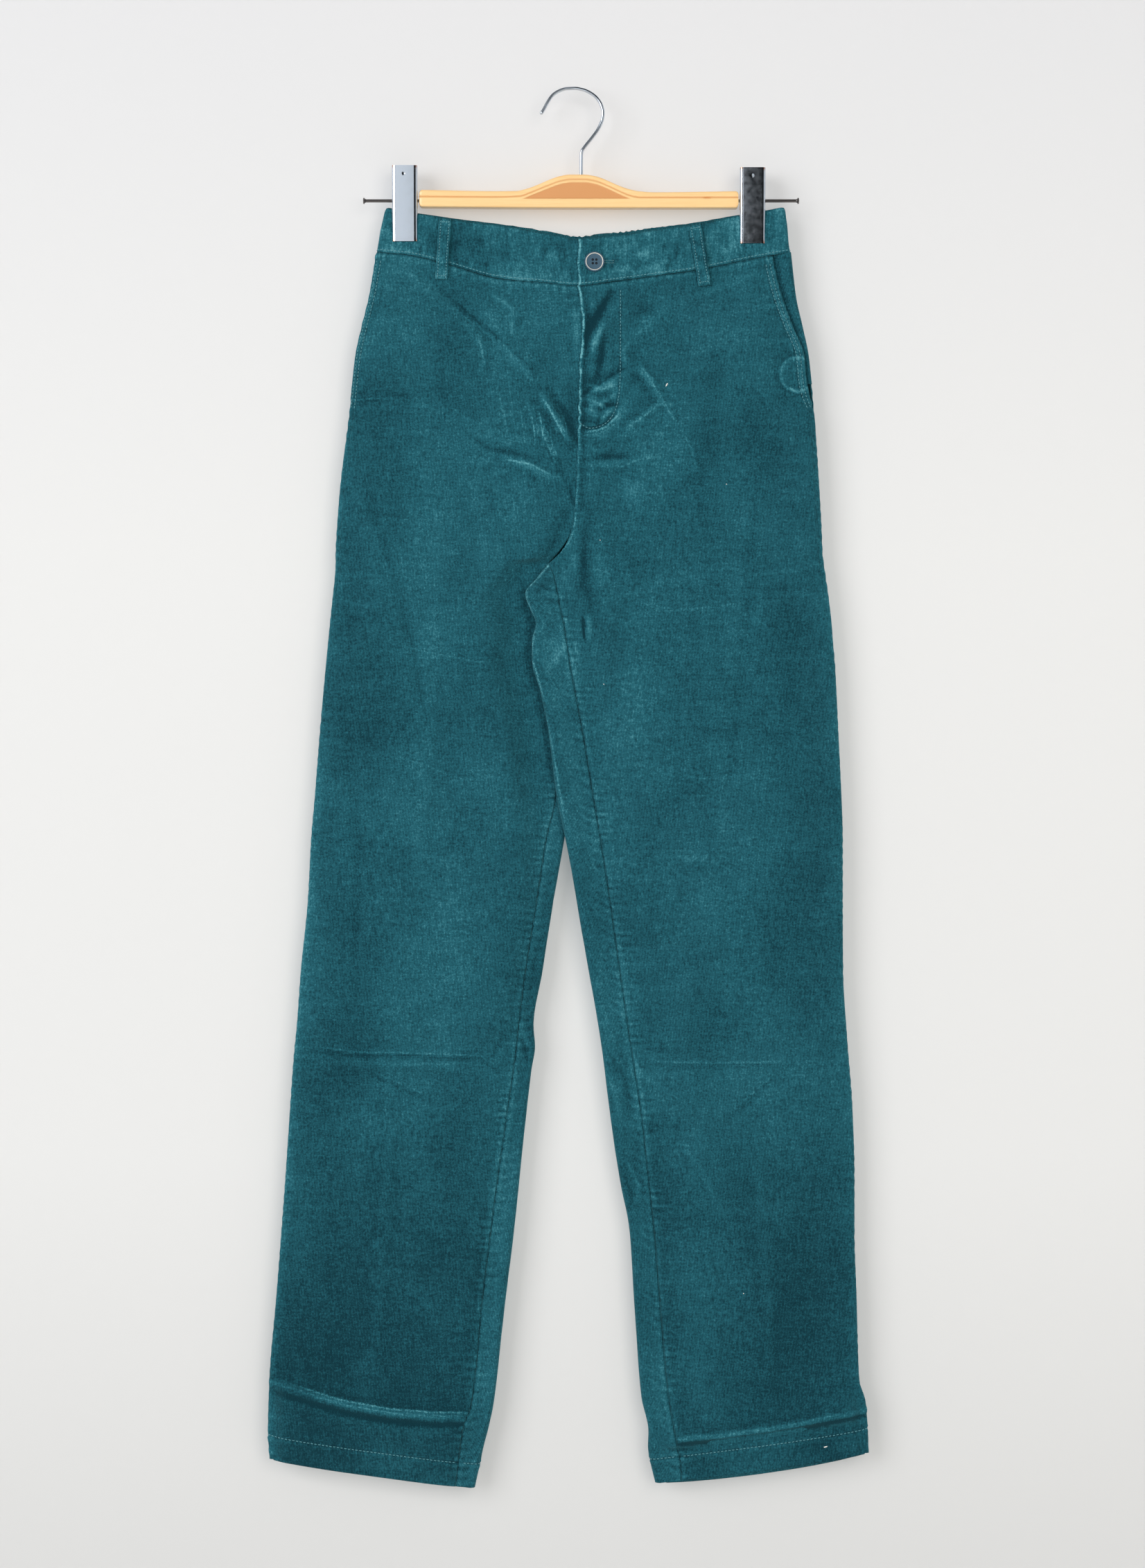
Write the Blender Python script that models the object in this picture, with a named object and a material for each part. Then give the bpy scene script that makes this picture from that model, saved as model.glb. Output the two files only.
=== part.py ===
"""Fine-wale corduroy trousers held by the waistband on a wooden clip hanger.

Millimetres are used for every named size; MM turns them into metres. X is to the viewer's right, Y away from
the viewer, Z up. The origin is the inner top of the hook, where the whole thing hangs. "right" and "left" are
the wearer's, so the right leg is at negative X. Every section is a flattened closed ring: a front face, a round
outer edge, a back face and, below the crotch, a round inner edge. A panel is the stretch of the rings between
two seams, given a wall by moving its points in.
"""

import math

import bmesh
import bpy
import numpy as np

MM = 0.001
RIGHT, LEFT = -1, 1

CLOTH = 1.2  # one layer of corduroy with its pile
BAND_WALL = 2.2  # two layers and the stiffening
HEM_WALL = 2.2  # the cloth turned up on itself
FACING_WALL = 1.0
TIGHT_WALL = 0.9
SEAM_HALF_GAP = 0.16
WAIST_GAP = 0.6
FLY_STEP = 1.7  # the left front lies over the right one
FACING_DEPTH = 1.9  # the pocket facing lies behind the front panel
FACING_LAP = 11.0
BAND_PROUD = 0.4
OUTSEAM_WRAP = 16.0  # at the waist the right outseam lies this far behind the edge
HEM_DEPTH = 20.0
CROTCH_SHELF = 16.0
SHELF_SPARE = 12.0  # where the legs cross, each keeps clear of the other this much further
WAIST_FADE = 45.0  # the flattening by the clips is gone this far below the waist seam

# Rows of the legs, one for each level where the outline or a fold changes. The first eight are the hips.
# steps: how many rows lead to the next one; out, inn: drop below the hook at the outer and the inner edge
# x_out, x_in: the outer and inner edge (the front edge in the hips); seam: the inseam on the front face
# y_in, r_in: the inner edge's centre and radius (in the hips y_in is the depth of the front edge)
# push: how far both faces stand out from the plain tube; wall: thickness
COLUMNS = "steps out inn x_out x_in seam y_in r_in push wall".split()
RIGHT_ROWS = [
    (2, 133, 162, -161.9, 8.8, 0, -10.0, 0, 0, CLOTH),
    (2, 170, 190, -168.1, 12.8, 0, -10.3, 0, 0, CLOTH),
    (2, 217, 227, -179.0, 11.1, 0, -10.6, 0, 0, CLOTH),
    (3, 267, 267, -184.4, 10.0, 0, -10.6, 0, 0, CLOTH),
    (2, 324, 324, -191.5, 7.0, 0, -10.3, 0, 0, CLOTH),
    (2, 360, 360, -194.4, 0.5, 0, -9.2, 0, 0, CLOTH),
    (2, 381, 381, -195.5, -13.0, 0, -7.4, 0, 0, CLOTH),
    (1, 390, 390, -195.5, -19.3, -20.4, -0.4, 2.4, 0, CLOTH),
    (1, 400, 400, -196.1, -11.4, -17.1, 1.5, 3.2, 0, CLOTH),
    (1, 416, 416, -197.8, -4.0, -16.0, 2.5, 4.0, 0, CLOTH),
    (1, 441, 441, -200.4, 1.7, -14.8, 2.5, 4.0, 0, CLOTH),
    (2, 473, 473, -203.5, 4.0, -13.7, 2.5, 4.0, 0, CLOTH),
    (2, 530, 530, -208.6, 2.8, -12.5, 2.5, 4.0, 0, CLOTH),
    (1, 581, 581, -212.6, -2.3, -14.2, 2.5, 4.0, 0, CLOTH),
    (1, 614, 614, -215.5, -6.5, -21.7, 2.3, 4.0, 0, CLOTH),
    (1, 666, 666, -218.3, -15.4, -29.6, 1.8, 4.0, 0, CLOTH),
    (1, 723, 723, -224.0, -24.5, -38.8, 1.2, 4.0, 0, CLOTH),
    (1, 769, 769, -227.4, -31.9, -44.7, 0.8, 4.0, 0.8, CLOTH),
    (1, 786, 786, -229.1, -30.8, -46.5, 0.6, 4.0, -1.2, CLOTH),
    (2, 806, 806, -230.8, -33.9, -49.0, 0.4, 4.0, 0.3, CLOTH),
    (2, 894, 894, -236.8, -44.2, -61.8, 0, 4.0, 0, CLOTH),
    (1, 991, 994, -244.2, -56.4, -74.4, 0, 4.0, 0, CLOTH),
    (1, 1055, 1084, -249.7, -66.7, -83.8, 0, 4.0, 0, CLOTH),
    (1, 1066, 1097, -250.2, -69.5, -88.9, 0, 4.0, 4.6, CLOTH),
    (1, 1100, 1126, -251.1, -76.4, -93.6, 0, 4.0, 3.4, CLOTH),
    (1, 1104, 1129, -251.1, -76.9, -94.0, 0, 4.0, 3.3, HEM_WALL),
    (0, 1125, 1149, -249.9, -81.2, -96.3, 0, 4.0, 2.2, HEM_WALL),
]
LEFT_ROWS = [
    (2, 133, 162, 179.0, 3.4, 0, -10.0, 0, 0, CLOTH),
    (2, 170, 190, 183.3, 7.4, 0, -10.3, 0, 0, CLOTH),
    (2, 217, 227, 193.5, 5.4, 0, -10.6, 0, 0, CLOTH),
    (3, 267, 267, 198.4, 4.3, 0, -10.6, 0, 0, CLOTH),
    (2, 324, 324, 202.3, 2.6, 0, -10.4, 0, 0, CLOTH),
    (2, 360, 360, 204.3, -0.8, 0, -9.8, 0, 0, CLOTH),
    (2, 381, 381, 205.2, -10.8, 0, -9.0, 0, 0, CLOTH),
    (2, 390, 390, 206.3, -20.9, -17.8, -6.6, 3.0, 0, CLOTH),
    (2, 402, 402, 208.0, -29.6, -15.1, -7.9, 3.6, 0, CLOTH),
    (1, 414, 414, 209.8, -38.8, -12.5, -8.2, 4.0, 0, CLOTH),
    (1, 428, 428, 211.5, -34.2, -10.0, -8.2, 4.0, 0, CLOTH),
    (1, 438, 438, 212.6, -30.2, -7.7, -8.2, 4.0, 0, CLOTH),
    (1, 453, 453, 213.7, -33.6, -5.4, -8.2, 4.0, 0, CLOTH),
    (1, 470, 470, 215.2, -33.6, -2.8, -8.2, 4.0, 0, CLOTH),
    (1, 495, 495, 216.6, -26.8, 1.7, -8.2, 4.0, 0, CLOTH),
    (2, 531, 531, 218.3, -19.9, 8.5, -8.2, 4.0, 0, CLOTH),
    (1, 579, 579, 220.6, -13.7, 16.2, -7.8, 4.0, 0, CLOTH),
    (1, 614, 614, 221.7, -6.5, 22.2, -7.0, 4.0, 0, CLOTH),
    (1, 666, 666, 221.7, 3.1, 30.2, -5.0, 4.0, 0, CLOTH),
    (1, 723, 723, 222.0, 12.8, 38.2, -3.4, 4.0, 0, CLOTH),
    (1, 780, 780, 225.4, 22.2, 46.5, -2.2, 4.0, 0, CLOTH),
    (1, 837, 837, 229.7, 29.4, 55.3, -1.2, 4.0, 0, CLOTH),
    (1, 894, 894, 231.4, 37.9, 61.8, -0.5, 4.0, 0, CLOTH),
    (1, 940, 940, 231.4, 47.3, 66.7, 0, 4.0, 0, CLOTH),
    (2, 991, 997, 233.1, 50.4, 71.2, 0, 4.0, 0, CLOTH),
    (1, 1060, 1075, 235.4, 56.4, 78.1, 0, 4.0, 0, CLOTH),
    (1, 1078, 1103, 240.5, 62.1, 82.6, 0, 4.0, 3.8, CLOTH),
    (1, 1088, 1115, 241.7, 61.6, 84.9, 0, 4.0, 5.0, CLOTH),
    (1, 1093, 1120, 241.9, 62.0, 85.8, 0, 4.0, 0.8, CLOTH),
    (1, 1098, 1126, 242.2, 63.0, 87.5, 0, 4.0, 0.6, HEM_WALL),
    (0, 1120, 1145, 243.1, 67.5, 88.9, 0, 4.0, 2.0, HEM_WALL),
]
FRONT_COLUMNS, BACK_COLUMNS, ELASTIC_COLUMNS = 10, 18, 88
HIP_ROWS = 8  # the eighth row is the crotch point

# drop: below the hook; half: bulge of the plain tube to the front and to the back; edge: radius of the outer edge
BULGE = [
    # drop, front, back, edge
    (133, 10.0, 9.2, 3.2),
    (180, 11.0, 10.2, 3.8),
    (300, 11.8, 11.2, 4.2),
    (450, 12.0, 11.4, 4.2),
    (700, 10.6, 10.2, 4.2),
    (900, 9.0, 8.8, 4.0),
    (1150, 8.0, 8.0, 4.0),
]
# the crotch seam behind the front edge, one row for each of the eight hip rows
BACK_SEAM = [  # x, y
    (4.6, 8.5), (4.6, 9.5), (4.6, 10.4), (4.6, 10.8), (4.0, 10.2), (1.5, 8.0), (-8.0, 3.0), (-19.0, -8.5),
]  # fmt: skip
# the waist seam and the band's top edge, drop below the hook at a share of the band's width from the right end
WAIST = [  # share, seam, top
    (0.00, 132.8, 96.0), (0.08, 135.5, 101.5), (0.17, 143.0, 106.6), (0.30, 155.6, 112.9),
    (0.41, 159.3, 119.1), (0.485, 161.9, 123.7), (0.59, 157.3, 120.2), (0.69, 152.2, 115.0),
    (0.77, 148.2, 111.0), (0.88, 140.4, 103.7), (1.00, 132.8, 95.8),
]  # fmt: skip
BAND_ENDS = {RIGHT: (-161.9, -154.6), LEFT: (179.0, 174.2)}  # at the seam, at the top
FLY_X = 3.4
FLY_SHARE = 0.485
FLY_LAP = 14.0
BAND_STEP = 2.6  # the band's left end lies over its right end
BACK_LIFT = 4.0  # the back of the waist stands higher in the middle
SLANT = [  # drop, x of the left pocket's edge
    (133, 163.6), (160, 169.3), (184, 176.7), (204, 184.7), (217, 189.8), (233, 194.6), (246, 198.0),
]  # fmt: skip
CLIP_INNER = {RIGHT: -127.0, LEFT: 136.0}  # the flattening by the clips ends here
ELASTIC_WAVES = 22

LOOP = {"width": 10.0, "wall": 1.6, "bow": 1.9, "gap": 0.5}
LOOPS = [
    # name, top x, top drop, bottom x, bottom drop, on the front
    ("belt_loop_front_right", -105.0, 106.0, -108.2, 156.2, True),
    ("belt_loop_front_left", 99.6, 111.0, 107.9, 161.5, True),
    ("belt_loop_back_right", -66.0, 108.0, -67.0, 158.0, False),
    ("belt_loop_back_centre", 4.6, 119.0, 4.6, 169.0, False),
    ("belt_loop_back_left", 78.0, 110.5, 80.0, 160.5, False),
]
BUTTON = {"x": 17.4, "drop": 142.7, "radius": 8.2, "wall": 2.4, "rim": 0.7, "hole": 0.85, "pitch": 1.7}

BAR_TOP = [  # x, drop of the bar's upper edge
    (-126.5, 82.2), (-60.0, 83.3), (-46.6, 83.1), (-37.8, 81.2), (-29.2, 78.1), (-20.5, 74.3), (-11.7, 71.2),
    (-3.0, 69.7), (9.1, 69.7), (18.8, 71.2), (28.3, 74.7), (37.1, 78.6), (45.7, 81.6), (54.4, 83.4),
    (66.6, 84.2), (135.7, 83.3),
]  # fmt: skip
BAR_BOTTOM = [(-126.5, 96.2), (5.0, 97.2), (135.7, 97.1)]
BAR = {"half": 6.0, "edge": 1.6, "bore": 11.0}
ROD = {"radius": 1.3, "drop": 90.6, "head": 2.6, "head_wall": 1.2, "in_bar": 9.0, "ends": (-172.7, 185.6)}
HOOK = {"radius": 1.45, "in_bar": 9.0}
HOOK_LINE = [  # x, height above the origin: from the open tip over the top to the shank
    (-27.0, -19.5), (-24.9, -16.4), (-20.5, -8.5), (-17.0, -3.7), (-11.7, -0.2), (-5.6, 1.7),
    (1.3, 2.0), (8.2, 0.8), (14.3, -1.9), (19.6, -6.2), (23.1, -11.8), (24.5, -17.9), (24.0, -23.1),
    (22.3, -27.9), (20.3, -31.8), (14.4, -39.9), (8.7, -47.1), (7.1, -49.8), (6.6, -53.0), (6.5, -70.0),
]  # fmt: skip
CLIPS = {"right": (-138.3, 62.9), "left": (147.2, 64.6)}  # middle x, drop of the upper end
CLIP = {"width": 21.0, "height": 61.6, "wall": 0.8, "corner": 1.0, "clear": 0.35, "hole": 1.7}
CLIP_SIDE = [
    # below the upper end, face's distance from the middle plane, depth of the turned-back sides
    (0.0, 9.8, 7.5), (12.0, 9.4, 9.5), (20.0, 8.9, 11.4), (28.0, 8.3, 11.0), (33.0, 7.8, 9.6), (34.2, 7.7, 2.0),
    (42.0, 6.8, 1.8), (50.0, 5.7, 1.3), (56.0, 5.0, 1.1), (61.6, 5.2, 1.1),
]  # fmt: skip


def smooth(u):
    """0 below 0, 1 above 1, and an even step between."""
    u = np.clip(u, 0.0, 1.0)
    return u * u * (3 - 2 * u)


def along(points, x, column=1):
    """A smooth curve through a table's points that never overshoots them."""
    t = np.array(points, float)
    xs, ys = t[:, 0], t[:, column]
    d = np.diff(ys) / np.diff(xs)
    m = np.concatenate([[d[0]], np.zeros(len(d) - 1), [d[-1]]])
    both = d[:-1] * d[1:] > 0
    m[1:-1][both] = 2 * d[:-1][both] * d[1:][both] / (d[:-1] + d[1:])[both]
    x = np.clip(x, xs[0], xs[-1])
    i = np.clip(np.searchsorted(xs, x, side="right") - 1, 0, len(xs) - 2)
    h = xs[i + 1] - xs[i]
    u = (x - xs[i]) / h
    return (
        ys[i] * (1 + 2 * u) * (1 - u) ** 2
        + m[i] * h * u * (1 - u) ** 2
        + ys[i + 1] * u * u * (3 - 2 * u)
        + m[i + 1] * h * u * u * (u - 1)
    )


def finer(rows):
    """The table's rows with the rows between them, as one array for each column."""
    at = [0.0]
    for i, row in enumerate(rows[:-1]):
        at += [i + (k + 1) / row[0] for k in range(row[0])]
    at = np.array(at)
    index = np.arange(len(rows))
    fine = {}
    for c, name in enumerate(COLUMNS[1:], 1):
        fine[name] = along(np.stack([index, [r[c] for r in rows]], axis=1), at)
    fine["at"] = at
    fine["wall"] = np.where(fine["wall"] > 1.9, HEM_WALL, CLOTH)
    return fine


ROWS = {RIGHT: finer(RIGHT_ROWS), LEFT: finer(LEFT_ROWS)}
CROTCH = int(np.argmax(ROWS[RIGHT]["at"] >= HIP_ROWS - 1))  # the same row on both sides


def edge_at(side, column, drop):
    """The outer or inner edge's x at a height, from the row table."""
    rows = RIGHT_ROWS if side == RIGHT else LEFT_ROWS
    c = COLUMNS.index(column)
    first = HIP_ROWS - 1 if column == "x_in" else 0
    return along([(r[1], r[c]) for r in rows[first:]], drop)


def hip_half(x, drop, column):
    """How far the hips' plain ring stands out to the front (1) or the back (2) of the middle plane."""
    right, left = edge_at(RIGHT, "x_out", drop), edge_at(LEFT, "x_out", drop)
    r = along(BULGE, drop, 3)
    top = along(BULGE, drop, column)
    t = np.clip((x - right) / (left - right), 0, 1)
    plain = r + (top - r) * (1 - np.abs(2 * t - 1) ** 5)
    u = np.clip((x - CLIP_INNER[RIGHT]) / (CLIP_INNER[LEFT] - CLIP_INNER[RIGHT]), 0, 1)
    held = r + (top - r) * np.sin(math.pi * u) ** 1.3
    free = smooth((drop - 150) / WAIST_FADE)
    return held + (plain - held) * free


def fly_fade(distance, lap):
    """1 over the lap of the fly, easing to 0 beyond it."""
    return 1 - smooth((distance - lap - 2) / 30)


def hip_front(side, x, drop, x_edge, y_edge):
    """Depth of the front face: the plain ring, drawn to the front edge's depth beside it."""
    y = -hip_half(x, drop, 1)
    near = 1 - smooth((x - x_edge) * side / 22)
    low = smooth((drop - 300) / 60)
    y = y + (y_edge - y) * near * low
    return y - (FLY_STEP * fly_fade((x - x_edge) * side, 6.0) if side == LEFT else 0)


def hip_back(side, x, drop, x_seam, y_seam):
    shelf = CROTCH_SHELF * smooth((drop - 345) / 45) if side == LEFT else 0.0
    near = 1 - smooth(((x - x_seam) * side - shelf) / 30)
    low = smooth((drop - 250) / 90)
    y = hip_half(x, drop, 2)
    gathers = 1.5 * np.sin(x / 7.6 + 0.7 * np.sin(x / 31)) * (1 - smooth((drop - 160) / 70))
    gathers = gathers * smooth((x - CLIP_INNER[RIGHT]) / 20) * smooth((CLIP_INNER[LEFT] - x) / 20)
    return y + (y_seam - y) * near * low - gathers


def leg_face(side, x, k, front):
    """Depth of a leg's front or back face at row k."""
    rows = ROWS[side]
    drop, r_in, y_in = rows["out"][k], rows["r_in"][k], rows["y_in"][k]
    r = along(BULGE, drop, 3)
    top = along(BULGE, drop, 1 if front else 2)
    a, b = rows["x_in"][k] + side * r_in, rows["x_out"][k] - side * r
    t = np.clip((x - a) / (b - a), 0, 1)
    power = 4 - 1.2 * smooth((drop - 600) / 300)
    tube = r + (top - r) * (1 - np.abs(2 * t - 1) ** power)
    hips = hip_half(x, drop, 1 if front else 2)
    half = hips + (tube - hips) * smooth((drop - 395) / 150)
    # where the other leg crosses, this face keeps to its own edge's depth
    other = edge_at(-side, "x_in", drop + (10 if side == LEFT else 0))
    crossing = front == (side == RIGHT)
    shelf = max(0.0, side * (other - a) + SHELF_SPARE) if crossing and drop < 640 else 0.0
    near = 1 - smooth((side * (x - a) - shelf) / 28)
    sign = -1 if front else 1
    y = sign * half
    y = y + (y_in + sign * r_in - y) * near
    edges = smooth(t / 0.12) * smooth((1 - t) / 0.06)
    return y + sign * rows["push"][k] * edges


def drop_at(side, k, x, x_end):
    """How far below the hook row k is at x: it sags in the hips and slopes evenly at the hem."""
    rows = ROWS[side]
    t = np.clip((x - rows["x_out"][k]) / (x_end - rows["x_out"][k]), 0, 1)
    across = t * FLY_SHARE if side == RIGHT else 1 - t * (1 - FLY_SHARE)
    sag = (along(WAIST, across) - WAIST[0][1]) / (WAIST[5][1] - WAIST[0][1])
    share = sag if k <= CROTCH else t**0.9
    return rows["out"][k] + (rows["inn"][k] - rows["out"][k]) * share


def arc(x, y, r, start, end, n=25):
    """Points round an edge, angles in degrees from +X towards +Y."""
    a = np.radians(np.linspace(start, end, n))
    return np.stack([x + r * np.cos(a), y + r * np.sin(a)], axis=1)


def line_from(points, weights):
    """A line's points with their directions, lengths and weighted lengths."""
    step = np.linalg.norm(np.diff(points, axis=0), axis=1)
    length = np.concatenate([[0], np.cumsum(step)])
    load = np.concatenate([[0], np.cumsum(step * (weights[:-1] + weights[1:]) / 2)])
    tangent = np.gradient(points, length + np.arange(len(length)) * 1e-9, axis=0)
    tangent /= np.linalg.norm(tangent, axis=1)[:, None]
    return {"p": points, "t": tangent, "s": length, "w": load}


def line_of(side, k):
    """Row k of one side: its points from the front seam round the outer edge to the last seam, a weight for
    each stretch that says how closely the columns stand there, and the length to the outer extreme."""
    rows = ROWS[side]
    x_out, x_in = rows["x_out"][k], rows["x_in"][k]
    r = along(BULGE, rows["out"][k], 3)
    x_arc = x_out - side * r
    hips = k < CROTCH
    turn = lambda angle: angle if side == LEFT else 180 - angle
    if hips:
        # towards the crotch point the back's seam edge curls round to the front
        seam = [along([(i, *p) for i, p in enumerate(BACK_SEAM)], rows["at"][k], c) for c in (1, 2)]
        curl = 90 + 90 * smooth((rows["at"][k] - 5) / 2)
        r_in = 2.4
        spare = side * 0.25 * smooth((curl - 90) / 60)
        a = seam[0] + spare - side * r_in * math.cos(math.radians(curl))
        y_in = seam[1] - r_in * math.sin(math.radians(curl))
        start, sag_end = x_in, FLY_X if rows["at"][k] < 5 else x_in
    else:
        r_in, y_in, curl = rows["r_in"][k], rows["y_in"][k], 225 if k == CROTCH else 270
        a = x_in + side * r_in
        start = a if k == CROTCH else side * max(side * rows["seam"][k], side * a + 0.4)
        sag_end = x_in
    drop = lambda x: drop_at(side, k, x, sag_end)
    xf, xb = np.linspace(start, x_arc, 90), np.linspace(x_arc, a, 90)
    if hips:
        yf = hip_front(side, xf, drop(xf), x_in, rows["y_in"][k])
        yb = hip_back(side, xb, drop(xb), a, y_in + r_in)
    else:
        yf, yb = leg_face(side, xf, k, True), leg_face(side, xb, k, False)
    low = 6.0 * smooth((rows["out"][k] - 1085) / 25) if side == LEFT else 0.0
    tb = np.clip((xb - a) / (x_arc - a), 0, 1)
    outer = arc(x_arc, 0, r, turn(-90), turn(90))
    parts = [
        np.column_stack([xf, yf, -drop(xf)]),
        np.column_stack([outer, np.full(len(outer), -rows["out"][k])])[1:-1],
        np.column_stack([xb, yb, -drop(xb) - low * np.sin(math.pi * tb) ** 0.5]),
    ]
    weights = [np.full(90, 1.0), np.full(23, 5.5), np.full(90, 1.0)]
    if hips:
        # the back waist stands a little higher in the middle
        lift = BACK_LIFT * (1 - smooth((rows["out"][k] - 133) / 60))
        parts[2][:, 2] += lift * np.sin(math.pi * np.clip((xb + 161.9) / 340.9, 0, 1))
        # towards the crotch the columns crowd beside the seam, as they do round the inner edge below it
        crowd = smooth((rows["out"][k] - 290) / 90) * (1 - smooth((rows["at"][k] - 5) / 2))
        weights[2] = 1 + 6 * crowd * np.exp(-np.abs(xb - a) / 10)
    if curl > 90.5:
        inner = arc(a, y_in, r_in, turn(90), turn(curl))
        parts.append(np.column_stack([inner, np.full(len(inner), parts[2][-1, 2])])[1:])
        weights.append(np.full(24, 5.5))
    if k > CROTCH:
        xs = np.linspace(a, start, 20)[1:]
        parts.append(np.column_stack([xs, leg_face(side, xs, k, True), -drop(xs)]))
        weights.append(np.full(19, 2.0))
    before = 90
    if k == CROTCH:
        lead = arc(a, y_in, r_in, turn(225), turn(270), 8)[:-1]
        parts.insert(0, np.column_stack([lead, np.full(7, -drop(a))]))
        weights.insert(0, np.full(7, 1.0))
        before = 97
    line = line_from(np.concatenate(parts), np.concatenate(weights))
    tangent = line["t"]
    if k >= CROTCH:
        tangent[0] = tangent[-1] = tangent[1] + tangent[-2]
    elif curl < 90.5:
        tangent[0], tangent[-1] = (side, 0, tangent[0][2]), (-side, 0, tangent[-1][2])
    line["t"] = tangent / np.linalg.norm(tangent, axis=1)[:, None]
    line["extreme"] = line["s"][before + 11]
    line["front"] = before
    return line


def columns(line, s0, s1, n):
    """n + 1 points of a line between two lengths, closer together where the line's weight says so."""
    w0, w1 = np.interp([s0, s1], line["s"], line["w"])
    s = np.interp(np.linspace(w0, w1, n + 1), line["w"], line["s"])
    take = lambda a: np.stack([np.interp(s, line["s"], a[:, i]) for i in range(3)], axis=1)
    return take(line["p"]), take(line["t"]), s


def normals(points, tangents, side, crotch=0):
    """Outward normals of a grid (rows, columns, xyz) from the rings' own directions."""
    down = np.gradient(points, axis=0)
    if crotch:  # the seams part here, so each row looks to its own side of the crotch point
        for c in (0, -1):
            down[crotch, c] = points[crotch + 1, c] - points[crotch, c]
    n = np.cross(down, tangents) * side
    return n / np.linalg.norm(n, axis=2)[:, :, None]


def solid(name, outer, inner, material, closed=False):
    """A wall between two grids of points, as one closed body."""
    rows, cols = outer.shape[:2]
    index = lambda r, c, layer: layer * rows * cols + r * cols + c % cols
    last = cols if closed else cols - 1
    faces = []
    for r in range(rows - 1):
        for c in range(last):
            # both layers are split along the same diagonal, the shorter one
            a, b, d, e = (r, c), (r, (c + 1) % cols), (r + 1, (c + 1) % cols), (r + 1, c)
            even = np.linalg.norm(outer[a] - outer[d]) < np.linalg.norm(outer[b] - outer[e])
            for three in ((a, b, d), (a, d, e)) if even else ((a, b, e), (b, d, e)):
                faces.append([index(*q, 0) for q in three])
                faces.append([index(*q, 1) for q in reversed(three)])
    for c in range(last):
        for r, a, b in ((0, c + 1, c), (rows - 1, c, c + 1)):
            faces.append([index(r, a, 0), index(r, b, 0), index(r, b, 1), index(r, a, 1)])
    if not closed:
        for r in range(rows - 1):
            for c, a, b in ((0, r, r + 1), (cols - 1, r + 1, r)):
                faces.append([index(a, c, 0), index(b, c, 0), index(b, c, 1), index(a, c, 1)])
    points = np.concatenate([outer.reshape(-1, 3), inner.reshape(-1, 3)])
    return add(name, points, faces, material)


def add(name, points, faces, material, smooth_faces=True):
    """A mesh object in the trousers' collection, its faces turned outward. Points are in millimetres."""
    mesh = bpy.data.meshes.new(name)
    mesh.from_pydata([tuple(p) for p in np.array(points, float) * MM], [], [list(map(int, f)) for f in faces])
    bm = bmesh.new()
    bm.from_mesh(mesh)
    bmesh.ops.recalc_face_normals(bm, faces=bm.faces)
    if bm.calc_volume(signed=True) < 0:
        bmesh.ops.reverse_faces(bm, faces=bm.faces)
    bm.to_mesh(mesh)
    bm.free()
    if smooth_faces:
        mesh.polygons.foreach_set("use_smooth", [True] * len(mesh.polygons))
        mesh.set_sharp_from_angle(angle=math.radians(38))
    o = bpy.data.objects.new(name, mesh)
    if material:
        o.data.materials.append(material)
    home.objects.link(o)
    return o


def material_of(name, colour, roughness, metallic=0.0):
    m = bpy.data.materials.new(name)
    m.use_nodes = True
    shader = m.node_tree.nodes["Principled BSDF"]
    linear = [((int(colour[i : i + 2], 16) / 255 + 0.055) / 1.055) ** 2.4 for i in (0, 2, 4)]
    shader.inputs["Base Color"].default_value = (*linear, 1)
    shader.inputs["Roughness"].default_value = roughness
    shader.inputs["Metallic"].default_value = metallic
    m.diffuse_color = (*linear, 1)
    return m


def pulled(points, tangents, first=0.0, last=0.0, top=0.0, side=1):
    """Draws a grid's edges back from their seams."""
    p = points.copy()
    rows = np.arange(len(p))
    more = 0.3 * ((rows >= CROTCH) & (rows <= CROTCH + 1))[:, None]  # the edges twist at the crotch point
    p[:, 0] += tangents[:, 0] * (first + more * (first > 0))
    p[:, -1] -= tangents[:, -1] * (last + more * (last > 0))
    if top:
        down = points[1] - points[0]
        p[0] += down / np.linalg.norm(down, axis=1)[:, None] * top
    return p


def wall_of(name, points, tangents, side, thickness, material, first=0.0, last=0.0, top=0.0, depth=0.0):
    """A panel: its outer points, moved in by depth, and the same points moved in by the wall as well."""
    n = normals(points, tangents, side, CROTCH if len(points) > CROTCH + 2 else 0)
    p = pulled(points, tangents, first, last, top)
    depth = np.broadcast_to(np.asarray(depth, float), p.shape[:2])[:, :, None]
    thick = np.repeat(np.broadcast_to(np.asarray(thickness, float), (len(p),))[:, None], p.shape[1], 1)
    if len(p) > CROTCH + 2:  # the seam's turn at the crotch point is too tight for the whole wall
        thick[CROTCH - 1 : CROTCH + 1, -3:] = TIGHT_WALL
    thick = thick[:, :, None]
    return solid(name, p - n * depth, p - n * (depth + thick), material)


def outseam_shift(side, drop):
    """How far behind the outer extreme the outseam lies."""
    return OUTSEAM_WRAP * (1 - smooth((drop - 120) / 200)) if side == RIGHT else 0.0


def pocket_edge(side, k, line):
    """The length at which the front panel ends: the pocket's slant, or the outer extreme below it."""
    drop = ROWS[side]["out"][k]
    if side == RIGHT or drop > SLANT[-1][0]:
        return line["extreme"]
    n = line["front"]
    return min(np.interp(along(SLANT, drop), line["p"][:n, 0], line["s"][:n]), line["extreme"])


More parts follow.
